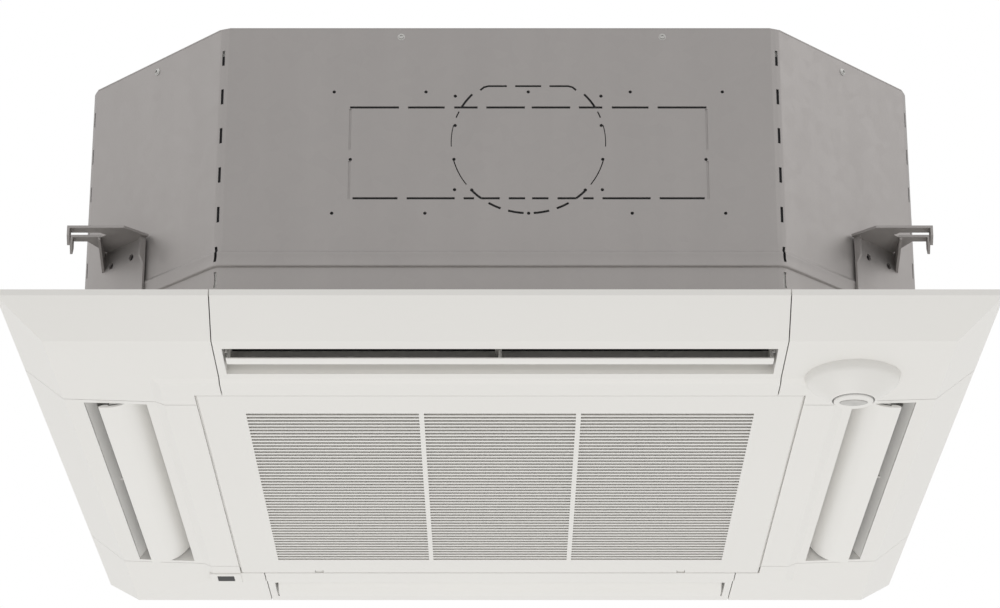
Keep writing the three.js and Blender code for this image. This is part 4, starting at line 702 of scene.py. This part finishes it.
def add_vanes():
    """Four vanes, each with three ribs and a pin at either end."""
    section = vane_section()
    ribs = [(-VANE_HALF, RIB_THICK - VANE_HALF), (-RIB_THICK / 2, RIB_THICK / 2), (VANE_HALF - RIB_THICK, VANE_HALF)]
    pins = [(PIN_LOW, PIN_OVERLAP - VANE_HALF), (VANE_HALF - PIN_OVERLAP, PIN_HIGH)]
    for side, quarters in SIDES.items():
        def place(a, b, x, quarters=quarters):
            return quarter_turned((x, PIVOT[0] + a, PIVOT[1] + b), quarters)
        form = Form()
        form.extrude(section, -VANE_HALF, VANE_HALF, place)
        for low, high in ribs:
            form.extrude(VANE_RIB, low, high, place)
        for low, high in pins:
            form.extrude(circle(0, 0, PIN_RADIUS, PIN_SIDES), low, high, place)
        skin = form.object(f"vane_{side}_skin")
        finish_piece(skin, "vane_white", f"vane_{side}", [f"air_vane_{side}"], VANE_SHARP)


add_vanes()


# ---- Air way linings: painted shade ----

# Section of a dark sheet of painted shade on the upper inner wall of an air way
SHADE_LINING = [(350.8, -23.6), (344.6, 2.6), (345.4, 2.8), (351.6, -23.6)]
OUTLET_HALF, SHADE_LINING_GAP = 266, 0.4


def add_painted_shade_linings():
    """Dark sheets of painted shade high on the inner wall of each air way, for the shadow in the duct, where a white
    wall would show through the slot.
    """
    form = Form()
    reach = OUTLET_HALF - SHADE_LINING_GAP
    for quarters in SIDES.values():
        form.extrude(SHADE_LINING, -reach, reach, lambda a, b, x, q=quarters: quarter_turned((x, a, b), q))
    # The foam finish's dark colour is painted shade here, for the shadow in the duct
    finish_piece(form.object("air_way_painted_shade"), "foam")


add_painted_shade_linings()


# ---- Soft edge of the grille ----

def add_grille_edges():
    """A thin lip on three edges of the grille, which fills most of its seam."""
    form = Form()
    for low, high in ((300.9, 301.95), (-301.95, -300.9)):
        side_lip = [(low, -41.6), (high, -41.2), (high, -36), (low, -36)]
        form.extrude(side_lip, -296, 285, along_y)
    near_lip = [(-301.7, -41.2), (-300.9, -41.6), (-300.9, -38.2), (-301.7, -38.2)]
    form.extrude(near_lip, -300, 300, lambda a, b, x: (x, a, b))
    finish_piece(form.object("grille_edges"), "grille_white", "grille")


add_grille_edges()


# ---- Presence sensor ----

SENSOR = (344, -344)
SENSOR_SIDES, SENSOR_SHARP = 96, 50
DOME = [
    (40, -36.8), (47.4, -36.8), (47, -39.4), (46.2, -42), (45.4, -44.6), (44.4, -46.6), (42.6, -48.4),
    (33, -55.6), (24.8, -61.8), (23, -63.2), (21.6, -64), (20.9, -64), (20.7, -63.4), (20.7, -57),
    (6.9, -57), (6.9, -54), (25, -54), (40, -45), (40, -36.8),
]
RING = [(19.75, -57.2), (20.65, -57.2), (20.65, -63.6), (20.2, -64), (19.75, -63.6), (19.75, -57.2)]


def add_sensor():
    """The fixed dome, whose foot flares into the panel, and the ring round the turning head."""
    def shift(x, y, z):
        return SENSOR[0] + x, SENSOR[1] + y, z
    dome = Form()
    dome.lathe(DOME, SENSOR_SIDES, shift)
    finish_piece(dome.object("sensor_shell"), "white_panel", "root", ["sensor_dome"], SENSOR_SHARP)
    ring = Form()
    ring.lathe(RING, SENSOR_SIDES, shift)
    finish_piece(ring.object("sensor_ring"), "grey_plastic", "root", (), SENSOR_SHARP)


add_sensor()


# ---- Camera, light and floor ----

CAMERA_PLACE, CAMERA_LENS = (0, -3.2286, -1.1105), 113.47
CAMERA_TILT = 21.697  # degrees up from level
FLOOR_HALF, FLOOR_HEIGHT = 60, -9


def add_camera():
    data = bpy.data.cameras.new("camera")
    data.sensor_width, data.lens = 36, CAMERA_LENS
    data.clip_start, data.clip_end = 0.05, 200
    camera = bpy.data.objects.new("camera", data)
    bpy.context.scene.collection.objects.link(camera)
    camera.location = CAMERA_PLACE
    camera.rotation_euler = (math.radians(90 + CAMERA_TILT), 0, 0)
    bpy.context.scene.camera = camera


def add_lamp(name, place, size, power):
    data = bpy.data.lights.new(name, "AREA")
    data.shape, data.size, data.energy = "DISK", size, power
    lamp = bpy.data.objects.new(name, data)
    bpy.context.scene.collection.objects.link(lamp)
    lamp.location = place
    lamp.rotation_euler = (-Vector(place)).to_track_quat("-Z", "Y").to_euler()


def add_world(seen, lit):
    """White to the camera, in gloss and through glass, and a plain level of light everywhere else."""
    world = bpy.data.worlds.new("studio")
    bpy.context.scene.world = world
    network = Network(world)
    path = network.node("ShaderNodeLightPath")
    kinds = ("Camera", "Glossy", "Transmission")
    camera, gloss, glass = (Level(network, path.outputs[f"Is {kind} Ray"]) for kind in kinds)
    white = (1, 1, 1, 1)
    light = network.node("ShaderNodeBackground", inputs={"Color": white, "Strength": lit})
    backdrop = network.node("ShaderNodeBackground", inputs={"Color": white, "Strength": seen})
    mix = network.node("ShaderNodeMixShader", inputs={
        0: camera + gloss + glass, 1: light.outputs[0], 2: backdrop.outputs[0]})
    network.feed(network.tree.nodes["World Output"].inputs["Surface"], mix.outputs[0])


def add_floor():
    mesh = bpy.data.meshes.new("floor")
    half, height = FLOOR_HALF, FLOOR_HEIGHT
    mesh.from_pydata([(-half, -half, height), (half, -half, height), (half, half, height), (-half, half, height)],
                     [], [(0, 1, 2, 3)])
    floor = bpy.data.objects.new("floor", mesh)
    bpy.context.scene.collection.objects.link(floor)
    finish = Finish("floor")
    finish.set(Base_Color=finish.between(paint(238, 238, 237), paint(246, 246, 245), finish.noise(0.6)), Roughness=0.9)
    mesh.materials.append(finish.material)


bpy.context.scene.view_settings.view_transform = "Standard"
add_camera()
add_world(seen=1.0, lit=0.85)
add_lamp("below", (0, 0.4, -3.6), 2.6, 34)
add_lamp("right", (4.2, -0.6, 2.6), 2.4, 24)
add_lamp("left", (-4.2, -0.6, 2.6), 2.4, 13)
add_floor()
